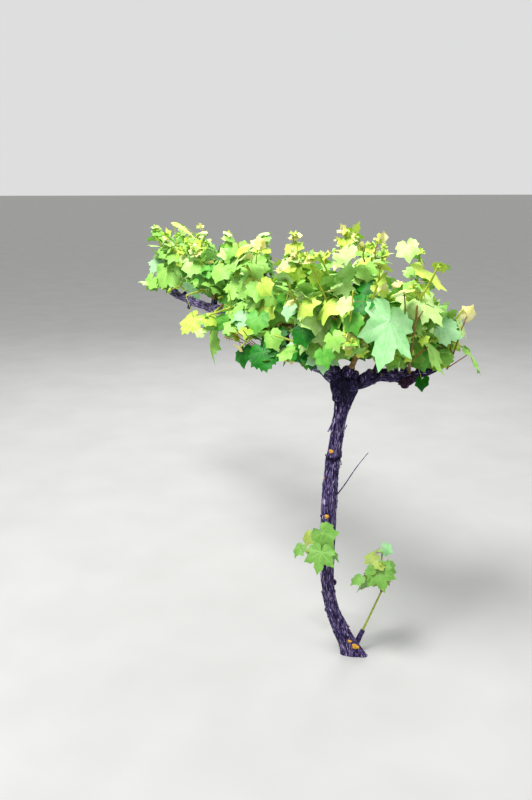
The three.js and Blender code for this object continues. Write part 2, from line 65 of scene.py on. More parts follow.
# The wood, as in the part's source.
GAP = 0.3
BELOW_GROUND = 40
HEAD = (-26, -50, 905)
WAIST_RADIUS = 20
FLARE_RADIUS = 14
FLARE_HEIGHT = 60
HEAD_RADIUS = 21
HEAD_SWELL_HEIGHT = 52
FLUTES = (5, 0.09)  # how many flutes the trunk has, and how deep they are as a share of its radius
TOES = (3, 0.22)  # the same for the toes of the root flare
SWAY = (2.2, 560)  # how far the trunk's radius comes and goes, and over what height
TRUNK_LINE = [
    (3, 6, -BELOW_GROUND),
    (0, 0, 0),
    (-24, -47, 102),
    (-37, -78, 214),
    (-42, -83, 430),
    (-42, -80, 600),
    (-34, -64, 760),
    (-26, -50, 860),
    (-24, -48, 935),
]
TRUNK_TOP = 935
LONG_ARM_LINE = [
    HEAD,
    (-105, -52, 922),
    (-290, -46, 944),
    (-500, -55, 972),
    (-700, -46, 992),
    (-860, -52, 1008),
    (-1080, -44, 1000),
    (-1300, -54, 1008),
    (-1480, -48, 1016),
]
LONG_ARM_RADII = (24, 13)
SHORT_ARM_LINE = [
    HEAD,
    (-20, 0, 903),
    (-30, 70, 915),
    (-22, 130, 909),
    (-26, 182, 896),
    (-34, 250, 905),
    (-26, 315, 924),
]
SHORT_ARM_RADII = (21, 12)
GNARL = 0.16
COLLAR = (8, 40)  # how much an arm thickens into the head, and over what length
SHORT_ARM_KNOB = (232, 9, 24)  # where the burl sits along the arm, how far it swells, half its length
SPUR_RADII = (14, 11)
SPUR_RISE = 24

# This year's growth, as in the part's source. A share runs from 0 at a shoot's foot to 1 at its tip.
STEM_LENGTH = 34
STEM_RADII = (9, 7)
SHOOT_RADII = (6, 3.2)
SHOOT_STEPS = 3
SHOOT_LIFT = 0.55
RISER_LEAN = (10, 46)
LOW_SIDES = ((70, 102), 1)  # how side shoots lean, in degrees, and how strongly they sag
HIGH_SIDES = ((56, 82), 0.1)
FIRST_NODE = 30
INTERNODE = 48
SHOOT_ROOM = 12
TIP_BUNCH = 20
TIP_SHARES = (0.93, 0.975)
BLADE_LENGTH = 96
PETIOLE_SHARE = 0.7
OLD_DROOP = (36, 82)
YOUNG_DROOP = (-25, 40)
SMALL_BLADE = 58
BLADE_REACH = 0.53
TURNS = (0, 0.4, -0.4, 0.8, -0.8, 1.3, -1.3, 1.9, -1.9)
LONG_ARM_SPURS = (150, 355, 560, 765, 970, 1175, 1385)
SHORT_ARM_SPURS = (118, 225, 345)
LONG_ARM_SPREAD = (230, 250, 290, 280, 200, 160, 130)
SHORT_ARM_HANG = (25, 30, 110)
SHORT_ARM_CLEAR = (0.27, 0.27, 0)
HEAD_HANG = 35
HEAD_CLEAR = 0.3
UP = np.array([0.0, 0.0, 1.0])


# Small helpers.
def unit(vector):
    """The vector made one long."""
    vector = np.asarray(vector, float)
    return vector / math.sqrt(vector @ vector)


def cross(a, b):
    """The cross product, which is quicker here than numpy's for single vectors."""
    return np.array([a[1] * b[2] - a[2] * b[1], a[2] * b[0] - a[0] * b[2], a[0] * b[1] - a[1] * b[0]])


def mix(a, b, t):
    """From a at t = 0 to b at t = 1."""
    return a + (b - a) * t


def smooth(t):
    """From 0 to 1 with a soft start and end."""
    t = np.clip(t, 0, 1)
    return t * t * (3 - 2 * t)


def random_from(seed):
    """The same stream of numbers from 0 to 1 as the part's source draws for this seed."""
    state = [seed]
    whole = 0xFFFFFFFF

    def draw():
        state[0] = (state[0] + 0x6D2B79F5) & whole
        t = state[0]
        t = ((t ^ (t >> 15)) * (t | 1)) & whole
        t ^= (t + (t ^ (t >> 7)) * (t | 61)) & whole
        return (t ^ (t >> 14)) / 4294967296

    return draw


class Line:
    """A smooth line through points, read by distance along it."""

    SAMPLES = 60

    def __init__(self, points):
        points = np.array(points, float)
        padded = np.vstack([2 * points[0] - points[1], points, 2 * points[-1] - points[-2]])
        w = np.arange(self.SAMPLES)[:, None] / self.SAMPLES
        runs = []
        for i in range(len(points) - 1):
            a, b, c, d = padded[i : i + 4]
            before, here, after = (np.sum((q - p) ** 2) ** 0.25 for p, q in ((a, b), (b, c), (c, d)))
            leave = ((b - a) / before - (c - a) / (before + here) + (c - b) / here) * here
            reach = ((c - b) / here - (d - b) / (here + after) + (d - c) / after) * here
            curve = (3 * (c - b) - 2 * leave - reach) * w**2
            runs.append(b + leave * w + curve + (2 * (b - c) + leave + reach) * w**3)
        self.points = np.vstack(runs + [points[-1:]])
        steps = np.linalg.norm(np.diff(self.points, axis=0), axis=1)
        self.distances = np.concatenate([[0], np.cumsum(steps)])
        self.length = self.distances[-1]

    def at(self, distance):
        columns = [np.interp(distance, self.distances, self.points[:, i]) for i in range(3)]
        return np.stack(columns, axis=-1)


trunk_line = Line(TRUNK_LINE)
long_line = Line(LONG_ARM_LINE)
short_line = Line(SHORT_ARM_LINE)


# Joined meshes.
class Pile:
    """Vertices and triangles of many small things of one kind, which become one piece."""

    def __init__(self):
        self.vertices = []
        self.triangles = []
        self.values = []
        self.count = 0

    def add(self, vertices, triangles, values=None):
        self.vertices.append(vertices)
        self.triangles.append(np.asarray(triangles) + self.count)
        self.values.append(np.zeros(len(vertices)) if values is None else values)
        self.count += len(vertices)

    def piece(self, name, material, slot, attribute=None):
        vertices = (np.vstack(self.vertices) * MM).astype(np.float32)
        triangles = np.vstack(self.triangles).astype(np.int32)
        mesh = bpy.data.meshes.new(name)
        mesh.vertices.add(len(vertices))
        mesh.vertices.foreach_set("co", vertices.ravel())
        mesh.loops.add(triangles.size)
        mesh.loops.foreach_set("vertex_index", triangles.ravel())
        mesh.polygons.add(len(triangles))
        mesh.polygons.foreach_set("loop_start", np.arange(0, triangles.size, 3, dtype=np.int32))
        mesh.polygons.foreach_set("use_smooth", np.ones(len(triangles), bool))
        if attribute:
            values = np.concatenate(self.values).astype(np.float32)
            mesh.attributes.new(attribute, "FLOAT", "POINT").data.foreach_set("value", values)
        mesh.update(calc_edges=True)
        mesh.materials.append(material)
        thing = bpy.data.objects.new(name, mesh)
        bpy.context.scene.collection.objects.link(thing)
        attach(thing, "root")
        return thing


def grid_triangles(rings, sides, closed=True):
    """Triangles of a skin whose vertices stand in rings of so many sides."""
    around = np.arange(sides if closed else sides - 1)
    rows = np.arange(rings - 1)[:, None] * sides
    a = rows + around
    b = rows + (around + 1) % sides
    lower = np.stack([a, b, b + sides], axis=-1).reshape(-1, 3)
    upper = np.stack([a, b + sides, a + sides], axis=-1).reshape(-1, 3)
    return np.vstack([lower, upper])


def fan_triangles(hub, first, sides):
    """Triangles from one vertex to each side of a ring."""
    around = np.arange(sides)
    return np.stack([np.full(sides, hub), first + around, first + (around + 1) % sides], axis=-1)


def frames_along(points, along=None):
    """Two directions across a line at each of its points, carried along it without twist."""
    if along is None:
        along = np.gradient(points, axis=0)
    along = along / np.linalg.norm(along, axis=1, keepdims=True)
    side = unit(cross(points[1] - points[0], (0.31, 0.87, 0.38)))
    sides = []
    for forward in along:
        side = unit(side - forward * (side @ forward))
        sides.append(side)
    sides = np.array(sides)
    return sides, np.cross(along, sides)


def add_tube(pile, points, radii, sides, values=None):
    """A tube along points, closed by a point at each end."""
    points = np.asarray(points, float)
    across, other = frames_along(points)
    angle = np.arange(sides) * 2 * math.pi / sides
    ring = np.cos(angle)[None, :, None] * across[:, None] + np.sin(angle)[None, :, None] * other[:, None]
    skin = points[:, None] + ring * np.asarray(radii, float)[:, None, None]
    count = len(points) * sides
    vertices = np.vstack([skin.reshape(-1, 3), points[:1], points[-1:]])
    foot = fan_triangles(count, 0, sides)[:, ::-1]
    tip = fan_triangles(count + 1, count - sides, sides)
    triangles = np.vstack([grid_triangles(len(points), sides), foot, tip])
    pile.add(vertices, triangles, None if values is None else np.full(len(vertices), values))


# Bark.
def skin_noise(u, along, cells_around, cell_length, seed):
    """Smooth noise from 0 to 1 over a limb's skin. u runs once round it and meets itself."""
    x = (u % 1) * cells_around
    y = along / cell_length + 2
    grid = np.random.default_rng(seed).random((cells_around, int(y.max()) + 3))
    i = np.floor(x).astype(int)
    j = np.floor(y).astype(int)
    fx = smooth(x - i)
    fy = smooth(y - j)
    i0 = i % cells_around
    i1 = (i + 1) % cells_around
    near = grid[i0, j] * (1 - fx) + grid[i1, j] * fx
    far = grid[i0, j + 1] * (1 - fx) + grid[i1, j + 1] * fx
    return near * (1 - fy) + far * fy


def bark_relief(u, along, strips, depth, seed):
    """How far the bark stands out, in mm: long strips parted by fissures, some of them lifted."""
    wander = 2.6 * skin_noise(u, along, 4, 120, seed) + 0.9 * skin_noise(u, along, 9, 34, seed + 1)
    w = u * strips + wander
    strip = np.floor(w).astype(int) % strips
    fissure = np.abs(np.sin(math.pi * w)) ** 0.5
    plates = np.random.default_rng(seed + 2).random((strips, 120))
    y = along / 34 + plates[strip, 0] * 3 + 2
    j = np.floor(y).astype(int)
    lift = mix(plates[strip, j], plates[strip, j + 1], smooth((y - j - 0.75) / 0.25))
    fibre = skin_noise(u, along, strips * 4, 16, seed + 3)
    return depth * (1.1 * (fissure - 0.8) + 0.6 * (lift - 0.5) * fissure + 0.9 * (fibre - 0.5))


class Limb:
    """Old wood along a line, whose skin can be read by distance along it and angle round it.

    The bark has so many strips round the limb and stands out so deep. Below the height level the
    sections turn flat, as the ground is, and over its last stretch the limb is rounded off.
    """

    def __init__(self, line, start, end, step, radius, strips, depth, seed, level=0, rounded=18, shade=None):
        self.line = line
        count = max(4, round((end - start) / step))
        self.distances = np.linspace(start, end, count)
        self.centres = line.at(self.distances)
        along = np.gradient(self.centres, axis=0)
        along /= np.linalg.norm(along, axis=1, keepdims=True)
        if level:
            along = mix(UP, along, smooth(self.centres[:, 2:] / level))
        self.across, self.other = frames_along(self.centres, along)
        self.radius = radius
        self.strips = strips
        self.depth = depth
        self.seed = seed
        self.rounded = rounded
        # shade paints light and shade into the bark's colour by height; it is added to the relief that the
        # colours follow
        self.shade = shade

    def relief(self, distance, angle):
        return bark_relief(angle / (2 * math.pi), distance, self.strips, self.depth, self.seed)

    def skin(self, distance, angle, lift=0.0, level=None):
        distance, angle = np.broadcast_arrays(np.asarray(distance, float), np.asarray(angle, float))
        place, across, other = (
            np.stack([np.interp(distance, self.distances, rows[:, i]) for i in range(3)], axis=-1)
            for rows in (self.centres, self.across, self.other)
        )
        left = (self.distances[-1] - distance) / self.rounded
        tip = np.sqrt(np.clip(1 - (1 - np.clip(left, 0, 1)) ** 2, 0, 1))
        relief = self.relief(distance, angle) if level is None else level
        reach = (self.radius(distance, angle) + relief) * tip + lift
        out = np.cos(angle)[..., None] * across + np.sin(angle)[..., None] * other
        return place + out * reach[..., None]

    def add_to(self, pile, sides):
        angle = np.arange(sides) * 2 * math.pi / sides
        distance, around = np.meshgrid(self.distances, angle, indexing="ij")
        skin = self.skin(distance, around).reshape(-1, 3)
        relief = self.relief(distance, around) / self.depth
        # painted light and painted shade, added to the relief that colours the bark
        if self.shade:
            relief = relief + self.shade(skin[:, 2].reshape(relief.shape))
        rings = len(self.distances)
        triangles = grid_triangles(rings, sides)
        foot = np.arange(1, sides - 1)
        cap = np.stack([np.zeros(sides - 2, int), foot + 1, foot], axis=-1)
        pile.add(skin, np.vstack([triangles, cap]), relief.ravel())


def trunk_radius(distance, angle):
    """The trunk's radius, with its flare and toes, its flutes, the swollen head and the tie's groove."""
    height = mix(-BELOW_GROUND, TRUNK_TOP, distance / trunk_line.length)
    flare = FLARE_RADIUS * np.exp(-np.maximum(height, 0) / FLARE_HEIGHT)
    swell = HEAD_RADIUS * np.exp(-(((height - HEAD[2]) / HEAD_SWELL_HEIGHT) ** 2))
    sway = SWAY[0] * np.cos(height / SWAY[1] * 2 * math.pi + 0.4)
    toes = 1 + TOES[1] * flare / FLARE_RADIUS * np.cos(TOES[0] * angle + 0.8)
    flutes = 1 + FLUTES[1] * np.sin(FLUTES[0] * angle + height / 150)
    groove = TIE_GROOVE[0] * np.exp(-(((height - TIE_HEIGHT) / TIE_GROOVE[1]) ** 2))
    rim = TIE_RIM[0] * np.exp(-(((height - TIE_HEIGHT - 10) / TIE_RIM[1]) ** 2))
    return (WAIST_RADIUS + flare + swell + sway) * toes * flutes - groove + rim


def trunk_painted_shade(height):
    """Painted shade: how much darker the bark is in the old tie's groove and on the head, under the crown."""
    return -1.8 * np.exp(-(((height - TIE_HEIGHT) / 4.5) ** 2)) - 0.9 * smooth((height - 800) / 90)


def even_painted_shading(amount):
    """Painted light, or painted shade where the amount is below nought, that is the same all over a limb."""
    return lambda height: np.full_like(height, amount)


def arm_radius(line, radii, seed, knob=None):
    """An arm's radius, which tapers, swells and narrows, and bears a knob where one is told."""

    def radius(distance, angle):
        taper = mix(radii[0], radii[1], distance / line.length)
        gnarl = 0.6 * np.sin(distance / 31 + seed) + 0.4 * np.sin(distance / 13.7 + 2 * seed)
        r = taper * (1 + GNARL * gnarl) + COLLAR[0] * np.exp(-distance / COLLAR[1])
        if knob:
            at, swell, length = knob
            r = r + swell * np.exp(-(((distance - at) / length) ** 2))
        return r * (1 + 0.07 * np.sin(3 * angle + 9 * distance / line.length))

    return radius


# Where the masses stand, as in the part's source.
def spur_place(line, radii, distance, tilt):
    """A spur's foot inside its arm, its direction and its end."""
    foot = line.at(distance)
    out = unit([tilt[0], tilt[1], 1])
    end = foot + out * (mix(radii[0], radii[1], distance / line.length) + SPUR_RISE)
    return foot, out, end


def mass_list():
    """Every mass of leaves: its spur, its seed, its shoots and the space that it keeps to."""
    masses = []
    # painted_light draws a mass's leaves towards the paler greens, where the crown is more brightly lit
    shared = dict(stem=STEM_LENGTH, turn=0, lean=(0, 0), clear=0, low=LOW_SIDES, scale=1, thick=1, painted_light=0)
    for i, distance in enumerate(LONG_ARM_SPURS):
        t = i / (len(LONG_ARM_SPURS) - 1)
        tilt = (0.12 * math.sin(i * 2.1), 0.28 * math.cos(i * 2.7))
        masses.append({
            **shared,
            "name": f"long_arm_leaves_{i + 1}",
            "painted_light": 0.5 * max(0, t - 0.1),
            "place": spur_place(long_line, LONG_ARM_RADII, distance, tilt),
            "seed": 101 + i,
            "risers": 3 if i < 4 else 4,
            "sides": 4 if i < 4 else 2,
            "height": mix(330, 235, t),
            "spread": LONG_ARM_SPREAD[i],
            "room": 190,
            "hang": mix(230, 130, t),
        })
    for i, distance in enumerate(SHORT_ARM_SPURS):
        tilt = (0.3 * math.cos(i * 2.2), 0.1)
        masses.append({
            **shared,
            "name": f"short_arm_leaves_{i + 1}",
            "painted_light": 0.5,
            "place": spur_place(short_line, SHORT_ARM_RADII, distance, tilt),
            "seed": 201 + i,
            "risers": 3,
            "sides": (3, 3, 2)[i],
            "height": (385, 350, 165)[i],
            "spread": (190, 190, 110)[i],
            "turn": math.pi / 2,
            "lean": (0, (-0.2, -0.2, -0.1)[i]),
            "room": 170,
            "hang": SHORT_ARM_HANG[i],
            "clear": SHORT_ARM_CLEAR[i],
            "low": HIGH_SIDES if i < 2 else LOW_SIDES,
        })
    for i, tilt in enumerate(((-0.3, -0.45), (0.55, 0.1))):
        out = unit([*tilt, 1])
        masses.append({
            **shared,
            "name": f"head_leaves_{i + 1}",
            "painted_light": 0.12,
            "place": (np.array(HEAD, float), out, HEAD + out * 66),
            "seed": (313, 324)[i],
            "risers": 4,
            "sides": 3,
            "height": 355,
            "spread": 190,
            "turn": 0.4 if i else -0.4,
            "lean": (tilt[0] * 0.3, tilt[1] * 0.3),
            "room": 260,
            "hang": HEAD_HANG,
            "clear": HEAD_CLEAR,
            "low": HIGH_SIDES,
        })
    sprouts = (((-42, -82, 330), (0.2, -0.85, 0.4), 36), ((2, 5, 28), (0.17, 0.33, 0.93), 60))
    for i, (foot, tilt, length) in enumerate(sprouts):
        out = unit(tilt)
        masses.append({
            **shared,
            "name": "base_sucker" if i else "trunk_sprout",
            "place": (np.array(foot, float), out, foot + out * length),
            "seed": 402 if i else 407,
            "risers": 2 if i else 3,
            "sides": 0,
            "height": 125 if i else 95,
            "spread": 0,
            "stem": 155 if i else 16,
            "lean": (0, 0.1) if i else (0.3, -0.4),
            "room": 200,
            "hang": 150,
            "scale": 1.05 if i else 0.8,
            "thick": 0.65,
        })
    return masses


# The growth, by the source's rule.
class Shoot:
    """The line that one shoot follows, and what each of its leaves draws from the stream."""

    def __init__(self, foot, direction, length, side, mass, random):
        draws = [random() for _ in range(3)]
        self.foot = foot
        self.direction = direction
        self.length = length
        self.side = side
        self.mass = mass
        self.phase = draws[2]
        self.end = unit([
            direction[0] + 0.3 * (draws[0] - 0.5),
            direction[1] + 0.3 * (draws[1] - 0.5),
            direction[2] + (-mass["low"][1] if side else SHOOT_LIFT),
        ])
        self.corners = [self.curve(i / SHOOT_STEPS) for i in range(SHOOT_STEPS + 1)]
        self.leaves = []
        self.spaced = math.floor((length - FIRST_NODE - TIP_BUNCH) / INTERNODE) + 1
        spaced_shares = [(FIRST_NODE + j * INTERNODE) / length for j in range(self.spaced)]
        for j, share in enumerate([*spaced_shares, *TIP_SHARES]):
            numbers = [random() for _ in range(7)]
            angle = math.pi * (self.phase + j) + (numbers[0] - 0.5) * 1.2
            self.leaves.append((share, angle, numbers))

    def curve(self, t):
        bent = self.length * t * t * 0.5
        return self.foot + self.direction * (self.length * t - bent) + self.end * bent

    def node(self, t):
        i = min(math.floor(t * SHOOT_STEPS), SHOOT_STEPS - 1)
        return mix(self.corners[i], self.corners[i + 1], t * SHOOT_STEPS - i)


def hang_leaf(shoot, share, angle, numbers, smaller=1.0):
    """Where one leaf's blade hangs: its stalk's end, the way its tip points and the way it faces."""
    _, _, largeness, drooping, climbing, stalk_draw, rolling = numbers
    direction = shoot.direction
    out = unit([math.cos(angle) + 0.8 * direction[0], math.sin(angle) + 0.8 * direction[1] + 1e-6, 0])
    grown = min(0.74 + 1.3 * share, 1) * (0.1 + 0.9 * (1.01 - share) ** 0.38)
    size = BLADE_LENGTH * shoot.mass["scale"] * grown * mix(0.86, 1.12, largeness) * smaller
    young = share * share
    droop = math.radians(mix(mix(*OLD_DROOP, drooping), mix(*YOUNG_DROOP, drooping), young))
    climb = mix(0 if shoot.side else 0.25, 0.9, young) + 0.5 * (climbing - 0.5)
    stalk = unit([out[0], out[1], climb])
    stalk_length = 0.12 if size < SMALL_BLADE * smaller else PETIOLE_SHARE * mix(0.75, 1.25, stalk_draw)
    base = shoot.node(share) + stalk * size * stalk_length
    tip = np.array([out[0] * math.cos(droop), out[1] * math.cos(droop), -math.sin(droop)])
    upright = unit(UP - tip * (UP @ tip))
    roll = (rolling - 0.5) * 1.1
    face = upright * math.cos(roll) + cross(tip, upright) * math.sin(roll)
    return {
        "shoot": shoot,
        "share": share,
        "base": base,
        "tip": tip,
        "face": face,
        "size": size,
        "centre": base + tip * 0.3 * size,
        "fold": 0.1 + 0.2 * rolling,
        "reach": BLADE_REACH * size,
    }


def grow_mass(mass):
    """The shoots of one mass: some that rise and spread, and low ones that lean to both sides."""
    random = random_from(mass["seed"])
    _, out, end = mass["place"]
    foot = end + out * (mass["stem"] - 6)
    phase = random() * 2 * math.pi
    shoots = []
    for k in range(mass["risers"] + mass["sides"]):
        side = k >= mass["risers"]
        draws = [random() for _ in range(3)]
        around = phase + 2 * math.pi * k / mass["risers"] + (draws[0] - 0.5) * 0.8
        outwards = (-math.pi / 2 if k % 2 else math.pi / 2) + mass["turn"] + (draws[0] - 0.5) * 1.2
        azimuth = outwards if side else around
        lean = math.radians(mix(*(mass["low"][0] if side else RISER_LEAN), draws[1]))
        length = (mass["spread"] if side else mass["height"]) * mix(0.8, 1.08, draws[2])
        direction = unit([
            math.sin(lean) * math.cos(azimuth) + mass["lean"][0],
            math.sin(lean) * math.sin(azimuth) + mass["lean"][1],
            math.cos(lean),
        ])
        shoots.append(Shoot(foot, direction, length, side, mass, random))
    return shoots


def lengths_apart(a, b):
    """How near two straight lengths come to each other."""
    u = a[1] - a[0]
    v = b[1] - b[0]
    w = a[0] - b[0]
    level = u @ v
    twist = max((u @ u) * (v @ v) - level * level, 1e-9)
    first = min(1, max(0, (level * (v @ w) - (v @ v) * (u @ w)) / twist))
    second = min(1, max(0, (level * first + v @ w) / (v @ v)))
    nearest = min(1, max(0, (level * second - u @ w) / (u @ u)))
    gap = w + u * nearest - v * second
    return math.sqrt(gap @ gap)


def grow_all(masses):
    """Every mass's shoots, without those that come too near another mass's."""
    kept = []
    lengths = []
    for mass in masses:
        _, out, end = mass["place"]
        lengths.append((mass["name"], end + out * GAP, end + out * mass["stem"]))
    for mass in masses:
        rivals = [(start, stop) for name, start, stop in lengths if name != mass["name"]]
        for shoot in grow_mass(mass):
            own = list(zip(shoot.corners, shoot.corners[1:]))
            if any(lengths_apart(a, b) < SHOOT_ROOM for a in own for b in rivals):
                continue
            kept.append(shoot)
            lengths.extend((mass["name"], start, stop) for start, stop in own)
    return kept


# The room that each limb takes: how far apart points along it are tried, and how far leaves keep from them.
LIMB_ROOM = ((trunk_line, 30, 34), (long_line, 20, 24), (short_line, 20, 22))


class Crown:
    """The leaves placed so far, and whether there is room for one more."""

    def __init__(self, shoots):
        self.leaves = []
        self.centres = np.zeros((0, 3))
        self.reaches = np.zeros(0)
        self.in_sight = np.zeros((0, 4))  # spots that no later leaf may hang before, told as in leaf_spots
        self.starts = np.array([corner for shoot in shoots for corner in shoot.corners[:-1]])
        self.stops = np.array([corner for shoot in shoots for corner in shoot.corners[1:]])
        self.owners = np.repeat(np.arange(len(shoots)), SHOOT_STEPS)
        self.shoots = shoots
        self.limbs = [(line.at(np.arange(0, line.length, step)), radius) for line, step, radius in LIMB_ROOM]

    def add(self, leaf):
        self.leaves.append(leaf)
        self.centres = np.vstack([self.centres, leaf["centre"]])
        self.reaches = np.append(self.reaches, leaf["reach"])

    def in_space(self, leaf, mass):
        away = leaf["base"] + leaf["tip"] * leaf["size"] - mass["place"][2]
        along = abs(away[0] * math.cos(mass["turn"]) + away[1] * math.sin(mass["turn"]))
        return along < mass["room"] and away[2] > mass["clear"] * math.hypot(away[0], away[1]) - mass["hang"]

    def meets_blade(self, leaf):
        if not self.leaves:
            return False
        away = self.centres - leaf["centre"]
        near = np.nonzero(np.sum(away**2, axis=1) <= (self.reaches + leaf["reach"]) ** 2)[0]
        return any(blades_meet(leaf, self.leaves[i]) for i in near)

    def meets_shoot(self, leaf, index):
        a = (self.starts - leaf["centre"]) @ leaf["face"]
        b = (self.stops - leaf["centre"]) @ leaf["face"]
        crossing = (a * b <= 0) & (self.owners != index)
        t = a / np.where(a == b, 1, a - b)
        hit = self.starts + (self.stops - self.starts) * t[:, None] - leaf["centre"]
        return bool(np.any(crossing & (np.linalg.norm(hit, axis=1) < leaf["reach"])))

    def meets_limb(self, leaf):
        across = cross(leaf["tip"], leaf["face"]) * leaf["reach"]
        centre = leaf["centre"]
        tip = leaf["base"] + leaf["tip"] * leaf["size"]
        spots = np.array([centre, tip, centre + across, centre - across])
        for points, radius in self.limbs:
            if np.linalg.norm(spots[:, None] - points[None], axis=2).min() < radius + 6:
                return True
        return False

    def covers_seen(self, leaf):
        """Whether a leaf would cover a stem, a large leaf or the bare air that the photograph shows."""
        x, y, depth = seen_from_camera(leaf["centre"])
        reach = leaf["reach"] * FOCAL / depth
        behind = self.in_sight[:, 2] > depth - 0.5 * leaf["reach"]
        away = np.hypot(self.in_sight[:, 0] - x, self.in_sight[:, 1] - y)
        if np.any(behind & (away < 0.9 * reach + self.in_sight[:, 3])):
            return True
        margin = 0.5 * reach
        patches = BARE_PATCHES + (BARE_BEFORE_ARM,) if leaf["centre"][1] < HEAD[1] else BARE_PATCHES
        return any(
            low[0] - margin < x < high[0] + margin and low[1] - margin < y < high[1] + margin
            for low, high in patches
        )

    def has_room(self, leaf, index):
        return (
            self.in_space(leaf, leaf["shoot"].mass)
            and not self.meets_blade(leaf)
            and not self.meets_shoot(leaf, index)
            and not self.meets_limb(leaf)
            and not self.covers_seen(leaf)
        )

    def place(self, index, share, angle, numbers, smaller=1.0):
        """Hang a leaf on a shoot, turned about it where needed, or leave it out."""
        for turn in TURNS:
            leaf = hang_leaf(self.shoots[index], share, angle + turn, numbers, smaller)
            if self.has_room(leaf, index):
                self.add(leaf)
                return


def blades_meet(a, b):
    """Whether two blades, taken as discs, cut through each other."""
    between = b["centre"] - a["centre"]
    line = cross(a["face"], b["face"])
    sine = math.sqrt(line @ line)
    if sine < 0.1:
        return abs(between @ a["face"]) < 0.1 * (a["reach"] + b["reach"])
    cosine = a["face"] @ b["face"]
    away_a = (between @ b["face"]) / sine
    away_b = -(between @ a["face"]) / sine
    if abs(away_a) > a["reach"] or abs(away_b) > b["reach"]:
        return False
    near_a = a["centre"] + (b["face"] - a["face"] * cosine) * away_a / sine
    near_b = b["centre"] + (a["face"] - b["face"] * cosine) * away_b / sine
    apart = abs((near_b - near_a) @ line) / sine
    return apart < math.sqrt(a["reach"] ** 2 - away_a**2) + math.sqrt(b["reach"] ** 2 - away_b**2)


# Leaves as meshes. A blade's outline is told by its radius at angles from its tip, in degrees.
LOBED = (
    (0, 1.0), (10, 0.92), (20, 0.74), (28, 0.62), (36, 0.72), (46, 0.88), (55, 0.93), (66, 0.8),
    (76, 0.62), (87, 0.7), (98, 0.74), (114, 0.64), (136, 0.57), (156, 0.47), (170, 0.28), (180, 0.05),
)
ROUND = (
    (0, 0.97), (14, 0.92), (30, 0.82), (54, 0.9), (76, 0.8), (98, 0.76), (136, 0.62), (158, 0.5), (180, 0.08),
)
VEIN_ANGLES = (0, 54, -54, 98, -98, 142, -142)
SIDE_VEINS = (0.2, 0.36, 0.52, 0.68)  # where side veins leave a main vein, as shares of its length
SIDE_VEIN_ANGLE = math.radians(44)
TOOTH = (0.075, -0.015, -0.06)  # how far the edge stands out and in over one tooth


def outline(theta, lobing):
    """Radius of a blade's smooth outline at an angle from its tip, as a share of its length."""
    degrees = np.degrees(np.abs((theta + math.pi) % (2 * math.pi) - math.pi))
    lobed = np.interp(degrees, *zip(*LOBED))
    plain = np.interp(degrees, *zip(*ROUND))
    return mix(plain, lobed, lobing)


class Blade:
    """The surface of one leaf, read at shares of its length across and along it."""

    def __init__(self, leaf, random):
        self.leaf = leaf
        self.lobing = leaf.get("lobing", mix(0.1, 1.1, random.random()))
        self.wide = leaf.get("wide", mix(0.96, 1.12, random.random()))
        self.waves = random.integers(3, 7)
        self.phase = random.random() * 2 * math.pi
        self.wave_height = mix(0.02, 0.07, random.random())
        self.cup = mix(-0.2, 0.14, random.random())
        self.skew = mix(-0.14, 0.14, random.random())
        self.bend = mix(0.06, 0.32, random.random())
        self.across = cross(leaf["tip"], leaf["face"])

    def radius(self, theta):
        return outline(theta, self.lobing)

    def height(self, x, y):
        theta = np.arctan2(x, y)
        share = np.hypot(x, y) / np.maximum(self.radius(theta), 0.05)
        bend = -self.leaf["fold"] * np.abs(x) - self.bend * y * y + self.cup * x * x + self.skew * x * y
        degrees = np.degrees(np.abs(theta))
        between = np.abs(np.sin(np.pi * np.interp(degrees, (0, 54, 98, 142, 180), (0, 1, 2, 3, 3.6))))
        quilt = 0.05 * between * share * (1.15 - share)
        wave = self.wave_height * share**3 * np.sin(self.waves * theta + self.phase)
        return bend + quilt + wave

    def points(self, x, y, lift=0.0):
        leaf = self.leaf
        z = self.height(x, y) * leaf["size"] + lift
        spread = np.multiply.outer(x * leaf["size"] * self.wide, self.across)
        forward = np.multiply.outer(y * leaf["size"], leaf["tip"])
        return leaf["base"] + spread + forward + np.multiply.outer(z, leaf["face"])


def add_blade(tops, backs, blade, samples, rings):
    """A blade's upper and lower skin, which meet at its toothed edge."""
    theta = np.arange(samples) * 2 * math.pi / samples
    smooth_radius = blade.radius(theta)
    teeth = 1 + np.array(TOOTH)[np.arange(samples) % len(TOOTH)]
    shares = np.linspace(0, 1, rings + 1)[1:] ** 0.85
    x = [np.zeros(1)]
    y = [np.zeros(1)]
    for share in shares:
        radius = smooth_radius * share * (teeth if share == shares[-1] else 1)
        x.append(np.sin(theta) * radius)
        y.append(np.cos(theta) * radius)
    x = np.concatenate(x)
    y = np.concatenate(y)
    triangles = np.vstack([fan_triangles(0, 1, samples), grid_triangles(rings, samples)[:, ::-1] + 1])
    thickness = np.full(len(x), 0.5)
    thickness[-samples:] = 0
    tops.add(blade.points(x, y), triangles[:, ::-1])
    backs.add(blade.points(x, y, -thickness), triangles)


def add_vein(pile, blade, x, y, widths, lift):
    """A narrow raised strip over a blade, from its first point to its last."""
    across_x = np.gradient(y)
    across_y = -np.gradient(x)
    length = np.hypot(across_x, across_y)
    across_x = across_x / length * widths
    across_y = across_y / length * widths
    left = blade.points(x - across_x, y - across_y, lift * 0.25)
    middle = blade.points(x, y, lift)
    right = blade.points(x + across_x, y + across_y, lift * 0.25)
    vertices = np.stack([left, middle, right], axis=1).reshape(-1, 3)
    triangles = grid_triangles(len(x), 3, closed=False)
    pile.add(vertices, triangles if lift < 0 else triangles[:, ::-1])


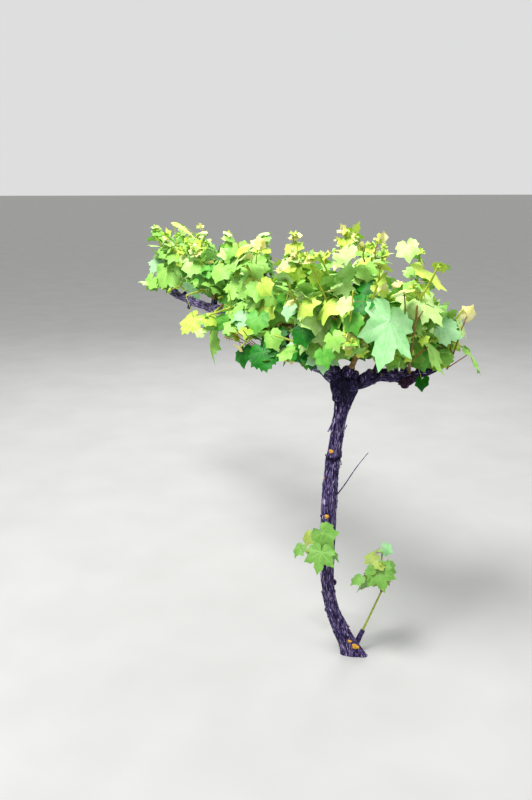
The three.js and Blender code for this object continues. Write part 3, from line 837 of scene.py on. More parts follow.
def add_side_veins(pile, blade, theta, reach, lift):
    """The side veins of one main vein, as far as the blade or the next vein lets them run."""
    for start in SIDE_VEINS:
        for hand in (-1, 1):
            at = (start + 0.05 * (hand > 0)) * reach
            heading = theta + hand * SIDE_VEIN_ANGLE
            x0 = math.sin(theta) * at
            y0 = math.cos(theta) * at
            ends = np.linspace(0, 0.5, 12)
            x = x0 + math.sin(heading) * ends
            y = y0 + math.cos(heading) * ends
            inside = np.hypot(x, y) < 0.93 * blade.radius(np.arctan2(x, y))
            far = ends[inside][-1] if inside[0] else 0
            if theta:
                far = min(far, at * 0.85)
            if far < 0.06:
                continue
            run = np.linspace(0, far, 4)
            x = x0 + math.sin(heading) * run
            y = y0 + math.cos(heading) * run
            add_vein(pile, blade, x, y, np.linspace(0.0055, 0.002, 4), lift)


def add_veins(pile, blade, lift, fine):
    """The main veins from the stalk to each lobe, and on large leaves the side veins."""
    for degrees in VEIN_ANGLES:
        theta = math.radians(degrees)
        reach = float(blade.radius(theta)) * 0.95
        t = np.linspace(0.03, 1, 6)
        widths = mix(0.011, 0.003, t) * (1 if abs(degrees) < 100 else 0.7)
        add_vein(pile, blade, np.sin(theta) * reach * t, np.cos(theta) * reach * t, widths, lift)
        if fine and abs(degrees) <= 120:
            add_side_veins(pile, blade, theta, reach, lift)


# Leaf colours on screen, for each kind: two shades that mottle its upper side, two that mottle its
# underside, and its veins.
GREENS = {
    # The old leaves' own dark green, deepened as painted shade inside and under the crown.
    "deep": ((5, 88, 5), (24, 126, 16), (60, 124, 52), (84, 146, 70), (70, 148, 54)),
    "mid": ((74, 154, 46), (110, 180, 68), (92, 158, 62), (116, 178, 84), (124, 196, 76)),
    "light": ((128, 186, 72), (152, 204, 96), (134, 194, 82), (156, 212, 100), (182, 228, 112)),
    # A light green of its own, with painted sky sheen.
    "pale": ((170, 212, 112), (194, 228, 146), (164, 216, 116), (188, 230, 144), (218, 244, 170)),
    # A pale blue-green: painted sky sheen on a light green.
    "mint_sheen": ((154, 228, 142), (180, 240, 168), (144, 210, 140), (168, 226, 168), (204, 242, 196)),
    # The same painted sheen, dimmed for leaves that face the key light.
    "dim_sheen": ((144, 202, 138), (168, 218, 158), (138, 196, 134), (160, 212, 154), (196, 232, 190)),
    # A darker copy of the greens: painted shade for the sprout and sucker by the trunk.
    "soft": ((94, 146, 52), (114, 162, 74), (108, 154, 74), (126, 168, 94), (142, 190, 98)),
    "young": ((128, 150, 56), (146, 166, 78), (136, 156, 70), (152, 170, 90), (172, 190, 96)),
    "lime": ((166, 204, 68), (194, 219, 94), (190, 220, 76), (210, 232, 104), (222, 240, 130)),
    "tips": ((226, 218, 114), (240, 236, 176), (240, 232, 136), (250, 246, 190), (250, 244, 180)),
}

# Which greens leaves have: each kind, and the draw below which a leaf is of it. Low leaves draw darker
# greens, as painted shade, and high ones paler greens, as painted light.
LOW_GREENS = (("deep", 0.36), ("mid", 0.7), ("light", 0.96), ("dim_sheen", 1))
HIGH_GREENS = (("deep", 0.14), ("mid", 0.4), ("light", 0.74), ("pale", 0.87), ("dim_sheen", 0.9), ("lime", 1))
YOUNG_GREENS = (("lime", 0.35), ("pale", 0.6), ("light", 1))
TUFT_GREENS = (("tips", 0.45), ("lime", 0.85), ("pale", 1))
SPROUT_GREENS = (("soft", 0.7), ("young", 1))
LOW_LEAVES = 60  # leaves lower than this above their mass's spur take the low greens
# How long a blade is, in mm, from which on it counts as more than a tuft's leaf, has veins, counts as
# grown, and has side veins and the finest edge.
TUFT_BLADE = 30
VEINED_BLADE = 34
YOUNG_BLADE = 45
FINE_BLADE = 60
# The stalks' and shoots' pieces and looks, each with its two colours on screen.
STALK_COLOURS = (
    ("red_petioles", "red_petiole", (136, 54, 32), (176, 118, 48)),
    ("green_petioles", "green_petiole", (150, 168, 36), (196, 200, 66)),
    ("shoot_bases", "shoot_base", (92, 66, 22), (150, 118, 44)),
    ("shoots", "shoot", (128, 150, 34), (180, 190, 62)),
    ("tendrils", "tendril", (176, 190, 56), (222, 190, 90)),
)

# Finer growth.
REAL_LEAF = 0.7  # the source's leaves are larger than life; these are as much smaller
NODE_SHARES = np.linspace(0.12, 0.94, 10)
HEAD_PIXEL = 335  # left of this the photograph shows the long arm's leaves, right of it the short arm's
# How many of the leaves between the source's nodes a mass gets, as a share, by how its name starts.
FILLING = (("long", 0.95), ("head", 0.85), ("short", 0.75), ("trunk", 0), ("base", 0))
BETWEEN_SIZES = (0.7, 0.62, 0.52, 0.42, 0.36)  # leaves between the source's nodes, as shares of a full one
CANE_RINGS = 22
NODE_LENGTH = 5
ZIGZAG = 1.8  # how far a shoot bends at each node
NODE_SWELL = 0.3
RED_SHARE = 0.4  # the lower part of a shoot, which has turned red-brown
SPROUT_THICK = 0.42
TUFT = 4  # folded leaves round each tip
TUFT_REACH = 13  # the room that a tuft takes
TIP_SIZES = (8, 20)  # how large a tuft's largest leaf is
SHOOT_ENDS = tuple(k / 20 for k in range(20, 8, -1))  # shares of a shoot at which it may end
SPRIG_SHARE = 0.4  # how many of the nodes bear a short side twig with a tuft of young leaves
SPRIG_LENGTHS = (22, 60)
SPRIG_SIZES = (10, 34)  # how large the largest leaf of such a tuft is
RED_STALKS = (0.6, 0.1)  # how many leaf stalks are red, at a shoot's foot and at its tip
TENDRIL_STEPS = 26
TENDRIL_SPAN = (0.35, 0.85)  # between which shares of a shoot tendrils stand
TENDRIL_SHARE = 0.3  # how many of the nodes there bear one
# Stubs on the head: where each starts, to the right, forwards and up from the head's middle as the
# camera sees it; where it points; its length and radius.
HEAD_STUBS = (
    ((-14, 4, 18), (-0.5, 0.1, 1), 44, 11),
    ((26, 8, 12), (0.3, 0.3, 1), 30, 10),
    ((44, 8, 0), (0.75, 0.3, 1), 56, 11),
)
# Burls on the head, told in the same way: where each starts, where it points, its length and radius.
HEAD_BURLS = (
    ((-6, 0, -16), (-0.6, 1, -0.1), 48, 15),
    ((10, 0, -4), (0.5, 1, 0.1), 50, 16),
    ((0, 0, 14), (-0.9, 0.5, 0.4), 44, 14),
    ((4, 0, 20), (0.2, 0.5, 1), 40, 17),
    ((-8, -6, 10), (-0.5, -1, 0.4), 48, 16),
    ((10, -6, -10), (0.5, -1, -0.2), 46, 15),
    ((0, 0, -40), (-0.9, 0.6, 0), 40, 13),
    ((0, 0, -30), (1, 0.5, 0.3), 42, 12),
)
# Red-brown burls on the arms: which arm, distance along it, where each points, its length and radius.
ARM_BURLS = (
    ("short", 222, (-0.3, 1, -0.3), 34, 15),
    ("short", 234, (0.3, 1, -0.1), 36, 16),
    ("short", 228, (0, 0.5, -1), 34, 15),
    ("short", 240, (0.5, 0.7, 0.5), 30, 12),
    ("long", 368, (-0.15, 1, 0.25), 70, 15),
    ("long", 384, (0.25, 1, 0.05), 66, 13),
    ("long", 376, (0, 1, -0.2), 62, 14),
)
# Knots on the trunk: height, how far round each sits from the side that the camera sees, how far it
# stands out of the middle line, and its radius.
KNOTS = ((482, -1.35, 27, 7), (748, 0.9, 27, 8), (250, 1.9, 29, 9), (590, 2.7, 25, 7), (150, -2.2, 36, 9))
# Flaps of bark that have come loose: height, how far round, length downwards, width, how far off.
FLAPS = ((815, -1.25, 62, 11, 12), (800, -0.9, 46, 8, 8), (700, 1.5, 50, 7, 7), (560, 2.4, 60, 9, 9))
TIE_HEIGHT = 672  # where an old tie has left a groove round the trunk
TIE_GROOVE = (2.4, 3.5)  # how deep the groove is and how wide it reaches
TIE_RIM = (1.6, 6)  # the same for the swelling above it
# Painted shade darkens every stub and burl and the short arm under the crown; painted light makes the long
# arm paler.
STUB_PAINTED_SHADE = -0.35  # how much darker stubs, burls and the short arm are
LONG_ARM_PAINTED_LIGHT = 0.5  # how much paler the long arm is
CUT_SIDES = 18
FLOOR_HALF = 300
TWIG = ((545, 1.3), (96, 12, 150), (2.2, 1.0))  # a dead twig: height and how far round, reach, radii
# Lichen on the trunk: its height, how far round it sits from the side that the camera sees, its size.
LICHENS = (
    (695, -0.5, 7), (486, -0.3, 8), (608, -1.0, 4), (34, 0.7, 10), (52, 0.5, 6), (400, 2.6, 7), (250, 3.4, 8),
)

# The largest leaves that the photograph shows, in its pixels: where the stalk ends, where the tip is,
# how far the leaf hangs before the old wood in mm, its green, how deeply it is lobed and how far it is
# turned about its midrib, away from the camera.
SEEN_LEAVES = (
    ((390, 321), (385, 370), 175, "mint_sheen", 1.25, -0.75),
    ((428, 343), (446, 376), 120, "light", 0.2, -1.15),
    ((422, 380), (420, 391), 90, "deep", 0.2, 0.5),
    ((372, 312), (362, 319), 140, "dim_sheen", 0.9, 0.7),
    ((369, 326), (366, 344), 120, "light", 0.6, 0.9),
    ((375, 340), (374, 357), 110, "mid", 0.6, 0.8),
    ((417, 355), (424, 366), 90, "light", 0.5, -0.7),
    ((407, 246), (409, 263), 60, "pale", 0.7, 0.2),
    ((424, 270), (448, 289), 70, "lime", 0.5, -1.0),
    ((405, 291), (386, 298), 150, "lime", 0.3, 1.0),
    ((302, 331), (305, 348), 150, "deep", 0.3, 0.4),
    ((333, 337), (338, 352), 150, "light", 1.1, 0.3),
    ((323, 353), (327, 369), 120, "mid", 0.6, 0.6),
    ((440, 329), (462, 336), 60, "dim_sheen", 0.5, -0.2),
    ((421, 293), (434, 304), 110, "pale", 0.6, -0.3),
    ((368, 284), (361, 297), 110, "deep", 0.6, 0.4),
    ((348, 250), (344, 264), 80, "pale", 0.6, 0.5),
    ((365, 267), (372, 283), 90, "light", 0.7, -0.3),
    ((263, 352), (267, 373), 170, "deep", 0.1, 0.2),
    ((243, 351), (240, 367), 120, "deep", 0.5, 0.7),
    ((258, 317), (255, 334), 140, "mid", 0.4, 0.2),
    ((271, 336), (276, 351), 150, "light", 0.5, 0.6),
    ((210, 334), (207, 366), 120, "light", 0.2, 1.25),
    ((194, 318), (180, 332), 100, "lime", 0.4, 0.6),
    ((243, 316), (238, 330), 130, "dim_sheen", 0.3, 0.4),
    ((253, 265), (261, 284), 90, "light", 0.6, 0.3),
    ((222, 269), (214, 283), 80, "light", 0.3, 0.5),
    ((263, 285), (271, 296), 150, "lime", 0.3, 0.6),
    ((168, 269), (178, 290), 60, "light", 0.6, 0.4),
    ((290, 307), (284, 320), 150, "dim_sheen", 0.6, 0.7),
    ((352, 320), (356, 336), 150, "mid", 0.8, 0.5),
    ((345, 302), (341, 317), 140, "pale", 0.7, 0.6),
    ((470, 353), (484, 372), 70, "light", 0.3, -1.15),
    ((467, 316), (474, 306), 80, "tips", 0.4, 0.7),
    ((425, 304), (445, 322), 130, "pale", 1.1, -0.7),
    ((433, 318), (427, 331), 120, "light", 0.8, 0.6),
    ((383, 285), (377, 291), 160, "tips", 0.5, 0.4),
    ((398, 283), (392, 289), 160, "tips", 0.5, 0.6),
    ((364, 259), (355, 265), 110, "lime", 0.6, 0.8),
    ((424, 338), (421, 346), 160, "lime", 0.5, 0.5),
    ((432, 345), (425, 352), 120, "mid", 0.7, 0.5),
    ((322, 533), (333, 549), 72, "soft", 0.8, 0.4),
    ((321, 552), (317, 573), 70, "soft", 1.2, 0.1),
    ((310, 535), (304, 546), 60, "young", 0.6, 0.6),
    ((300, 547), (293, 556), 50, "soft", 0.5, 0.6),
    ((378, 571), (384, 591), 60, "soft", 1.1, 0.2),
    ((373, 556), (364, 563), 55, "young", 0.7, 0.4),
    ((359, 578), (350, 585), 50, "soft", 0.6, 0.6),
    ((384, 549), (393, 553), 50, "dim_sheen", 0.5, 0.6),
    ((182, 226), (200, 238), 60, "lime", 0.2, -1.2),
    ((258, 245), (266, 239), 100, "tips", 0.7, 0.5),
    ((258, 245), (251, 240), 100, "tips", 0.7, 0.5),
    ((297, 278), (301, 267), 110, "lime", 0.5, 0.3),
    ((318, 280), (314, 268), 100, "lime", 0.5, 0.3),
    ((160, 262), (149, 271), 50, "dim_sheen", 0.4, 0.3),
)
# Stems that the photograph shows before the leaves, in its pixels: points along each, how far its foot
# and its tip stand before the old wood in mm, its radii in mm, and its colour.
SEEN_STEMS = (
    (((409, 373), (411, 353), (413, 337), (416, 320), (417, 306)), (20, 215), (5.4, 3.2), "brown"),
    (((416, 321), (420, 316), (423, 311)), (195, 205), (2.6, 1.8), "brown"),
    (((410, 362), (419, 354), (428, 347)), (60, 160), (2.4, 1.7), "red"),
    (((447, 369), (454, 352), (461, 331), (467, 316)), (10, 80), (3.2, 2.0), "brown"),
    (((453, 355), (451, 347), (452, 340)), (30, 80), (2.2, 1.6), "red"),
    (((449, 367), (458, 361), (467, 355)), (15, 80), (2.0, 1.4), "red"),
    (((405, 314), (405, 304), (404, 292)), (165, 170), (2.2, 1.8), "brown"),
    (((417, 297), (416, 292), (415, 286)), (180, 180), (2.4, 1.8), "green"),
    (((350, 322), (352, 306), (353, 290)), (150, 170), (2.6, 1.8), "green"),
    (((365, 264), (363, 254), (365, 246)), (120, 120), (2.4, 1.8), "brown"),
    (((376, 263), (375, 252), (378, 243)), (110, 110), (2.4, 1.8), "brown"),
    (((256, 350), (240, 342), (224, 337)), (30, 175), (2.4, 1.3), "red"),
    (((256, 348), (243, 340), (230, 333)), (30, 180), (2.2, 1.3), "red"),
    (((257, 347), (246, 339), (237, 331)), (30, 175), (2.2, 1.3), "red"),
    (((258, 346), (249, 338), (243, 330)), (30, 170), (2.4, 1.3), "red"),
    (((286, 302), (290, 286), (291, 270)), (160, 160), (2.6, 1.8), "green"),
    (((231, 309), (230, 296), (228, 288)), (130, 140), (2.4, 1.6), "green"),
    (((298, 265), (298, 253), (297, 244)), (100, 110), (2.4, 1.6), "green"),
    (((178, 262), (176, 240), (174, 222)), (60, 60), (2.4, 1.6), "green"),
    (((256, 264), (257, 253), (258, 246)), (100, 100), (2.2, 1.6), "green"),
)
STEM_PILES = {"red": "red_petioles", "brown": "shoot_bases", "green": "shoots"}
SPOT_REACH = 0.22  # how far round a spot of such a leaf nothing else may hang, as a share of its size
# Where the photograph shows no leaves, in its pixels: the corners of each box.
BARE_PATCHES = (
    ((331, 355), (380, 373)),
    ((437, 222), (520, 262)),
    ((450, 262), (520, 318)),
    ((398, 374), (415, 389)),
    ((277, 329), (294, 346)),
    ((205, 200), (325, 230)),
    ((205, 222), (226, 238)),
    ((234, 222), (250, 243)),
    ((267, 222), (288, 257)),
    ((306, 222), (328, 247)),
    ((325, 200), (358, 224)),
    ((424, 222), (440, 257)),
    ((186, 340), (236, 360)),
    ((255, 377), (300, 392)),
    ((274, 360), (300, 392)),
)
# The same, kept free of the leaves before the long arm alone.
BARE_BEFORE_ARM = ((172, 291), (229, 314))

# The bark's colours on screen, from its fissures to its palest fibres. The dark end also carries painted
# shade:
# in the fissures, the tie's groove and on the head.
BARK_COLOURS = ((2, 0, 22), (26, 17, 58), (70, 56, 104), (144, 130, 174), (222, 214, 232))
BURL_COLOURS = {
    "short": ((16, 6, 22), (40, 18, 44), (72, 34, 62), (118, 62, 84), (170, 120, 130)),
    "long": ((38, 10, 18), (84, 30, 36), (130, 56, 56), (180, 104, 98), (228, 180, 172)),
}


# Materials.
def linear(red, green, blue):
    """A colour given as it looks on screen, from 0 to 255, in the shader's own linear numbers."""
    parts = [c / 255 for c in (red, green, blue)]
    return tuple(c / 12.92 if c <= 0.04045 else ((c + 0.055) / 1.055) ** 2.4 for c in parts) + (1.0,)


class Look:
    """A material's node tree, with short ways to add what the looks below share."""

    def __init__(self, name):
        self.material = bpy.data.materials.new(name)
        self.material.use_nodes = True
        self.nodes = self.material.node_tree.nodes
        self.links = self.material.node_tree.links
        self.nodes.clear()
        out = self.nodes.new("ShaderNodeOutputMaterial")
        self.shader = self.nodes.new("ShaderNodeBsdfPrincipled")
        self.links.new(self.shader.outputs[0], out.inputs["Surface"])
        self.place = self.nodes.new("ShaderNodeTexCoord").outputs["Object"]

    def noise(self, stretch, scale, detail=3.0, roughness=0.55):
        mapping = self.nodes.new("ShaderNodeMapping")
        mapping.inputs["Scale"].default_value = stretch
        self.links.new(self.place, mapping.inputs["Vector"])
        noise = self.nodes.new("ShaderNodeTexNoise")
        noise.inputs["Scale"].default_value = scale
        noise.inputs["Detail"].default_value = detail
        noise.inputs["Roughness"].default_value = roughness
        self.links.new(mapping.outputs[0], noise.inputs["Vector"])
        return noise.outputs["Fac"]

    def ramp(self, factor, stops):
        ramp = self.nodes.new("ShaderNodeValToRGB")
        elements = ramp.color_ramp.elements
        while len(elements) < len(stops):
            elements.new(0.5)
        for element, (position, colour) in zip(elements, stops):
            element.position = position
            element.color = colour
        self.links.new(factor, ramp.inputs["Fac"])
        return ramp.outputs["Color"]

    def paint(self, factor, stops):
        """The skin's colour, from a pattern and the colours at places in it."""
        self.links.new(self.ramp(factor, stops), self.shader.inputs["Base Color"])

    def math(self, operation, *values):
        node = self.nodes.new("ShaderNodeMath")
        node.operation = operation
        for socket, value in zip(node.inputs, values):
            if isinstance(value, (int, float)):
                socket.default_value = value
            else:
                self.links.new(value, socket)
        return node.outputs[0]

    def grey_range(self, factor, low, high):
        node = self.nodes.new("ShaderNodeMapRange")
        node.inputs["To Min"].default_value = low
        node.inputs["To Max"].default_value = high
        self.links.new(factor, node.inputs["Value"])
        return node.outputs[0]

    def bump(self, height, strength, distance):
        node = self.nodes.new("ShaderNodeBump")
        node.inputs["Strength"].default_value = strength
        node.inputs["Distance"].default_value = distance
        self.links.new(height, node.inputs["Height"])
        self.links.new(node.outputs[0], self.shader.inputs["Normal"])


def bark_look(name, stretch, colours=BARK_COLOURS):
    """Shreddy bark: dark in its fissures, partly as painted shade, and pale on its lifted strips and finest
    fibres. The relief attribute brings in the limbs' painted light and shade.
    """
    look = Look(name)
    attribute = look.nodes.new("ShaderNodeAttribute")
    attribute.attribute_name = "relief"
    fibres = look.noise(stretch, 290, 3.0, 0.7)
    blotches = look.noise((1, 1, 1), 38, 2.0)
    height = look.math("MULTIPLY_ADD", attribute.outputs["Fac"], 0.34, 0.3)
    mixed = look.math("ADD", height, look.grey_range(fibres, -1.15, 1.2))
    mixed = look.math("ADD", mixed, look.grey_range(blotches, -0.12, 0.12))
    stops = zip((0.0, 0.22, 0.45, 0.7, 1.0), colours)
    look.paint(mixed, [(place, linear(*shade)) for place, shade in stops])
    look.links.new(look.grey_range(fibres, 0.75, 1.0), look.shader.inputs["Roughness"])
    look.shader.inputs["Specular IOR Level"].default_value = 0.25
    look.bump(fibres, 0.8, 0.0016)
    return look.material


def leaf_look(name, colour, other, roughness=0.48, gloss=0.28):
    """A leaf's skin: its own green with soft mottling, finely quilted, with a waxy gloss."""
    look = Look(name)
    mottle = look.noise((1, 1, 1), 46, 2.0)
    grain = look.noise((1, 1, 1), 520, 2.0)
    look.paint(mottle, [(0.34, linear(*colour)), (0.68, linear(*other))])
    look.links.new(look.grey_range(grain, roughness - 0.1, roughness + 0.12), look.shader.inputs["Roughness"])
    look.shader.inputs["Specular IOR Level"].default_value = gloss
    look.bump(grain, 0.35, 0.0008)
    return look.material


def stalk_look(name, colour, other, roughness=0.5):
    """A green shoot's or a stalk's skin, streaked and a little glossy."""
    look = Look(name)
    streaks = look.noise((1, 1, 1), 90, 3.0)
    look.paint(streaks, [(0.35, linear(*colour)), (0.7, linear(*other))])
    dull = look.grey_range(streaks, roughness - 0.1, roughness + 0.15)
    look.links.new(dull, look.shader.inputs["Roughness"])
    look.bump(look.noise((1, 1, 1), 700, 2.0), 0.25, 0.0005)
    return look.material


def cut_look():
    """The face of an old pruning cut: weathered end grain with faint rings."""
    look = Look("pruning_cut")
    grain = look.noise((1, 1, 1), 160, 4.0)
    look.paint(grain, [(0.3, linear(44, 32, 36)), (0.55, linear(92, 72, 66)), (0.75, linear(132, 110, 92))])
    look.shader.inputs["Roughness"].default_value = 0.9
    look.bump(grain, 0.5, 0.001)
    return look.material


def lichen_look():
    """Yellow-orange crust."""
    look = Look("lichen")
    crust = look.noise((1, 1, 1), 420, 3.0)
    look.paint(crust, [(0.3, linear(150, 92, 20)), (0.5, linear(214, 156, 36)), (0.72, linear(230, 190, 84))])
    look.shader.inputs["Roughness"].default_value = 0.95
    look.bump(crust, 0.8, 0.001)
    return look.material


def floor_look():
    """Pale grey, very softly mottled."""
    look = Look("floor")
    look.paint(look.noise((1, 1, 1), 3, 2.0), [(0.3, (0.4, 0.4, 0.39, 1)), (0.7, (0.43, 0.43, 0.42, 1))])
    look.shader.inputs["Roughness"].default_value = 0.9
    return look.material


# Finer growth, beyond what the solids hold.
def shoot_end(crown, shoot, last_leaf):
    """How far a shoot is drawn, past its last leaf, and whether there is room for a tuft at its end."""
    for share in SHOOT_ENDS:
        room = {"centre": shoot.curve(share), "reach": TUFT_REACH}
        if share >= last_leaf and not crown.covers_seen(room):
            return share, True
    return max(last_leaf, SHOOT_ENDS[-1]), False


def add_cane(shoot, end):
    """A shoot's stem: a little bent and swollen at each node, red-brown below and green above."""
    t = np.linspace(0, end, CANE_RINGS)
    points = np.array([shoot.curve(v) for v in t])
    away = unit(cross(shoot.direction, (0.37, 0.21, 0.9)))
    steps = (t * shoot.length - FIRST_NODE) / INTERNODE
    points += np.outer(ZIGZAG * np.cos(math.pi * steps) * np.minimum(1, 6 * t), away)
    swollen = 1 + NODE_SWELL * np.exp(-(((steps - np.round(steps)) * INTERNODE / NODE_LENGTH) ** 2))
    radii = mix(SHOOT_RADII[0], SHOOT_RADII[1] * 0.6, t) * swollen
    half = round(CANE_RINGS * RED_SHARE)
    add_tube(piles["shoot_bases"], points[: half + 1], radii[: half + 1], 8)
    add_tube(piles["shoots"], points[half:], radii[half:], 8)


def add_petiole(pile, leaf):
    """A leaf's stalk, which arches from its shoot to its blade."""
    t = np.linspace(0, 1, 5)[:, None]
    start = leaf["shoot"].curve(leaf["share"])
    arch = np.sin(t * math.pi) * UP * 0.05 * leaf["size"]
    end = leaf["base"] + leaf["tip"] * 0.02 * leaf["size"]
    radius = max(0.7, leaf["size"] * 0.0135)
    add_tube(pile, mix(start, end, t) + arch, radius * (1.25 - 0.35 * t[:, 0]), 4)


def tuft(shoot, end, ahead, largest, random):
    """Young leaves, still folded, that stand round the end of a shoot or of a side twig."""
    side = unit(cross(ahead, (0.2, 0.5, 0.1)))
    other = cross(ahead, side)
    leaves = []
    for k in range(TUFT):
        angle = 2.4 * k + shoot.phase * 6
        out = side * math.cos(angle) + other * math.sin(angle)
        spread = mix(0.2, 1.7, (k + random.random()) / TUFT)
        tip = unit(ahead + out * spread)
        face = unit(ahead - tip * (ahead @ tip) + out * 0.05)
        size = mix(0.45, 1.15, (k + random.random()) / TUFT) * largest
        leaves.append({
            "shoot": shoot,
            "share": 1.0,
            "base": end - ahead * (1 + 0.12 * largest * k) + out * 2,
            "tip": tip,
            "face": unit(face - tip * (face @ tip)),
            "size": size,
            "fold": 0.8,
            "wide": 0.72,
        })
    return leaves


def tip_leaves(shoot, share, random):
    """The tuft at a shoot's end."""
    end = shoot.curve(share)
    ahead = unit(end - shoot.curve(share - 0.03))
    return tuft(shoot, end, ahead, mix(*TIP_SIZES, random.random()), random)


def sprig(crown, shoot, share, angle, random):
    """A short side twig with a tuft of young leaves, where there is room for one."""
    start = shoot.curve(share)
    ahead = unit([math.cos(angle), math.sin(angle), mix(0.2, 1.2, random.random())])
    end = start + ahead * mix(*SPRIG_LENGTHS, random.random())
    largest = mix(*SPRIG_SIZES, random.random() ** 1.5)
    room = {"centre": end, "face": ahead, "reach": largest * 0.6}
    if crown.meets_blade(room) or crown.covers_seen(room):
        return []
    t = np.linspace(0, 1, 4)[:, None]
    bent = mix(start, end, t) + UP * 3 * np.sin(math.pi * t)
    add_tube(piles["shoots"], bent, 1.5 - 0.6 * t[:, 0], 5)
    return tuft(shoot, end, ahead, largest, random)


def add_tendril(shoot, share, angle, random):
    """A thin tendril opposite a leaf, which reaches out and curls at its end."""
    out = unit([math.cos(angle), math.sin(angle), 0.55])
    axis = unit(cross(out, UP) + 0.6 * (random.random(3) - 0.5))
    length = mix(60, 115, random.random())
    curl = mix(4, 9, random.random()) * (1 if random.random() < 0.5 else -1)
    step = length / TENDRIL_STEPS
    place = shoot.curve(share)
    heading = out
    points = [place]
    for k in range(TENDRIL_STEPS):
        turn = curl * (k / TENDRIL_STEPS) ** 2 * 3 / TENDRIL_STEPS
        heading = unit(heading * math.cos(turn) + cross(axis, heading) * math.sin(turn))
        place = place + heading * step
        points.append(place)
    points = np.array(points)
    if (points * MM > np.array(cad_high)).any() or (points * MM < np.array(cad_low)).any():
        return
    add_tube(piles["tendrils"], points, np.linspace(1.0, 0.4, len(points)), 4)


# What the photograph shows in its place.
def camera_axes():
    """Forwards, to the right and up, as the camera looks."""
    level = math.cos(CAMERA_PITCH)
    forward = np.array([CAMERA_HEADING[0] * level, CAMERA_HEADING[1] * level, -math.sin(CAMERA_PITCH)])
    across = np.array([CAMERA_HEADING[1], -CAMERA_HEADING[0], 0])
    return forward, across, cross(across, forward)


def seen_at(pixel, depth):
    """The place in mm that a pixel of the photograph shows at a depth before the camera."""
    forward, across, rise = camera_axes()
    x = (pixel[0] - PHOTO_SIZE[0] / 2) / FOCAL
    y = (PHOTO_SIZE[1] / 2 - pixel[1]) / FOCAL
    return np.array(CAMERA_PLACE) / MM + (forward + across * x + rise * y) * depth


def depth_before(pixel, front):
    """How deep a pixel's line of sight passes so far before the old wood.

    That is the long arm left of HEAD_PIXEL, and the short arm right of it.
    """
    eye = seen_at(pixel, 0)
    sight = seen_at(pixel, 1) - eye
    if pixel[0] < HEAD_PIXEL:
        return (HEAD[1] - front - eye[1]) / sight[1]
    return (HEAD[0] + front - eye[0]) / sight[0]


def seen_from_camera(place):
    """The photograph's pixel that shows a place, and how deep it lies before the camera."""
    forward, across, rise = camera_axes()
    away = place - seen_at((0, 0), 0)
    depth = away @ forward
    x = PHOTO_SIZE[0] / 2 + FOCAL * (away @ across) / depth
    return x, PHOTO_SIZE[1] / 2 - FOCAL * (away @ rise) / depth, depth


def stem_depths(pixels, fronts):
    """How deep a photographed stem lies at each of its points."""
    last = len(pixels) - 1
    return [depth_before(p, mix(*fronts, math.sqrt(k / last))) for k, p in enumerate(pixels)]


def stem_spots():
    """Spots along the photographed stems: their pixel, their depth and how far each reaches."""
    spots = []
    for pixels, fronts, _, _ in SEEN_STEMS:
        ends = [np.array([*p, depth, 0]) for p, depth in zip(pixels, stem_depths(pixels, fronts))]
        for start, end in zip(ends, ends[1:]):
            spots += [mix(start, end, t) for t in (0, 0.33, 0.67, 1)]
    return spots


def leaf_spots(leaves):
    """Spots on leaves, told in the same way."""
    spots = []
    for leaf in leaves:
        across = cross(leaf["tip"], leaf["face"])
        for share, aside in ((0.15, -0.3), (0.15, 0.3), (0.5, -0.25), (0.5, 0.25), (0.85, 0)):
            away = leaf["size"] * (leaf["tip"] * share + across * aside)
            x, y, depth = seen_from_camera(leaf["base"] + away)
            spots.append((x, y, depth, SPOT_REACH * leaf["size"] * FOCAL / depth))
    return spots


def hang_seen(crown, nodes, start, end, front, kind, lobing, turn):
    """Hang one of the photographed leaves, as near to its depth as the shoots and limbs leave room."""
    for nearer in (0, 20, -20, 40, -40, 60, 80):
        depth = depth_before(start, front + nearer)
        base = seen_at(start, depth)
        size = np.linalg.norm(seen_at(end, depth) - base)
        tip = unit(seen_at(end, depth - 0.3 * size) - base)
        view = unit(seen_at(start, 0) - base)
        face = view + 0.4 * UP
        face = unit(face - tip * (face @ tip))
        face = face * math.cos(turn) + cross(tip, face) * math.sin(turn)
        away = np.linalg.norm(nodes - (base + 30 * UP - 40 * view), axis=2)
        index, step = np.unravel_index(np.argmin(away), away.shape)
        leaf = {
            "shoot": crown.shoots[index],
            "share": float(NODE_SHARES[step]),
            "base": base,
            "tip": tip,
            "face": face,
            "size": size,
            "centre": base + tip * 0.3 * size,
            "fold": 0.12,
            "reach": BLADE_REACH * size,
            "kind": kind,
            "lobing": lobing,
            "wide": mix(0.92, 0.42, min(1, max(0, abs(turn) - 0.8) / 0.45)),
        }
        if not (crown.meets_shoot(leaf, index) or crown.meets_limb(leaf) or crown.meets_blade(leaf)):
            break
    crown.add(leaf)


def add_seen_stem(pixels, fronts, radii, colour):
    """One of the photographed stems, thickest at its foot."""
    line = Line([seen_at(p, depth) for p, depth in zip(pixels, stem_depths(pixels, fronts))])
    t = np.linspace(0, 1, 9)
    add_tube(piles[STEM_PILES[colour]], line.at(t * line.length), mix(*radii, t), 7)


# The crown.
def hang_source_leaves(crown, masses):
    """The source's leaves, one from each mass in turn, so that no mass takes another's room."""
    queues = [
        [(k, *leaf) for k, shoot in enumerate(crown.shoots) if shoot.mass is mass for leaf in shoot.leaves]
        for mass in masses
    ]
    for row in zip_longest(*queues):
        for index, share, angle, numbers in filter(None, row):
            crown.place(index, share, angle, numbers, REAL_LEAF)


def filling(mass):
    """How many of the leaves between the source's nodes a mass gets, as a share."""
    return next(share for start, share in FILLING if mass["name"].startswith(start))


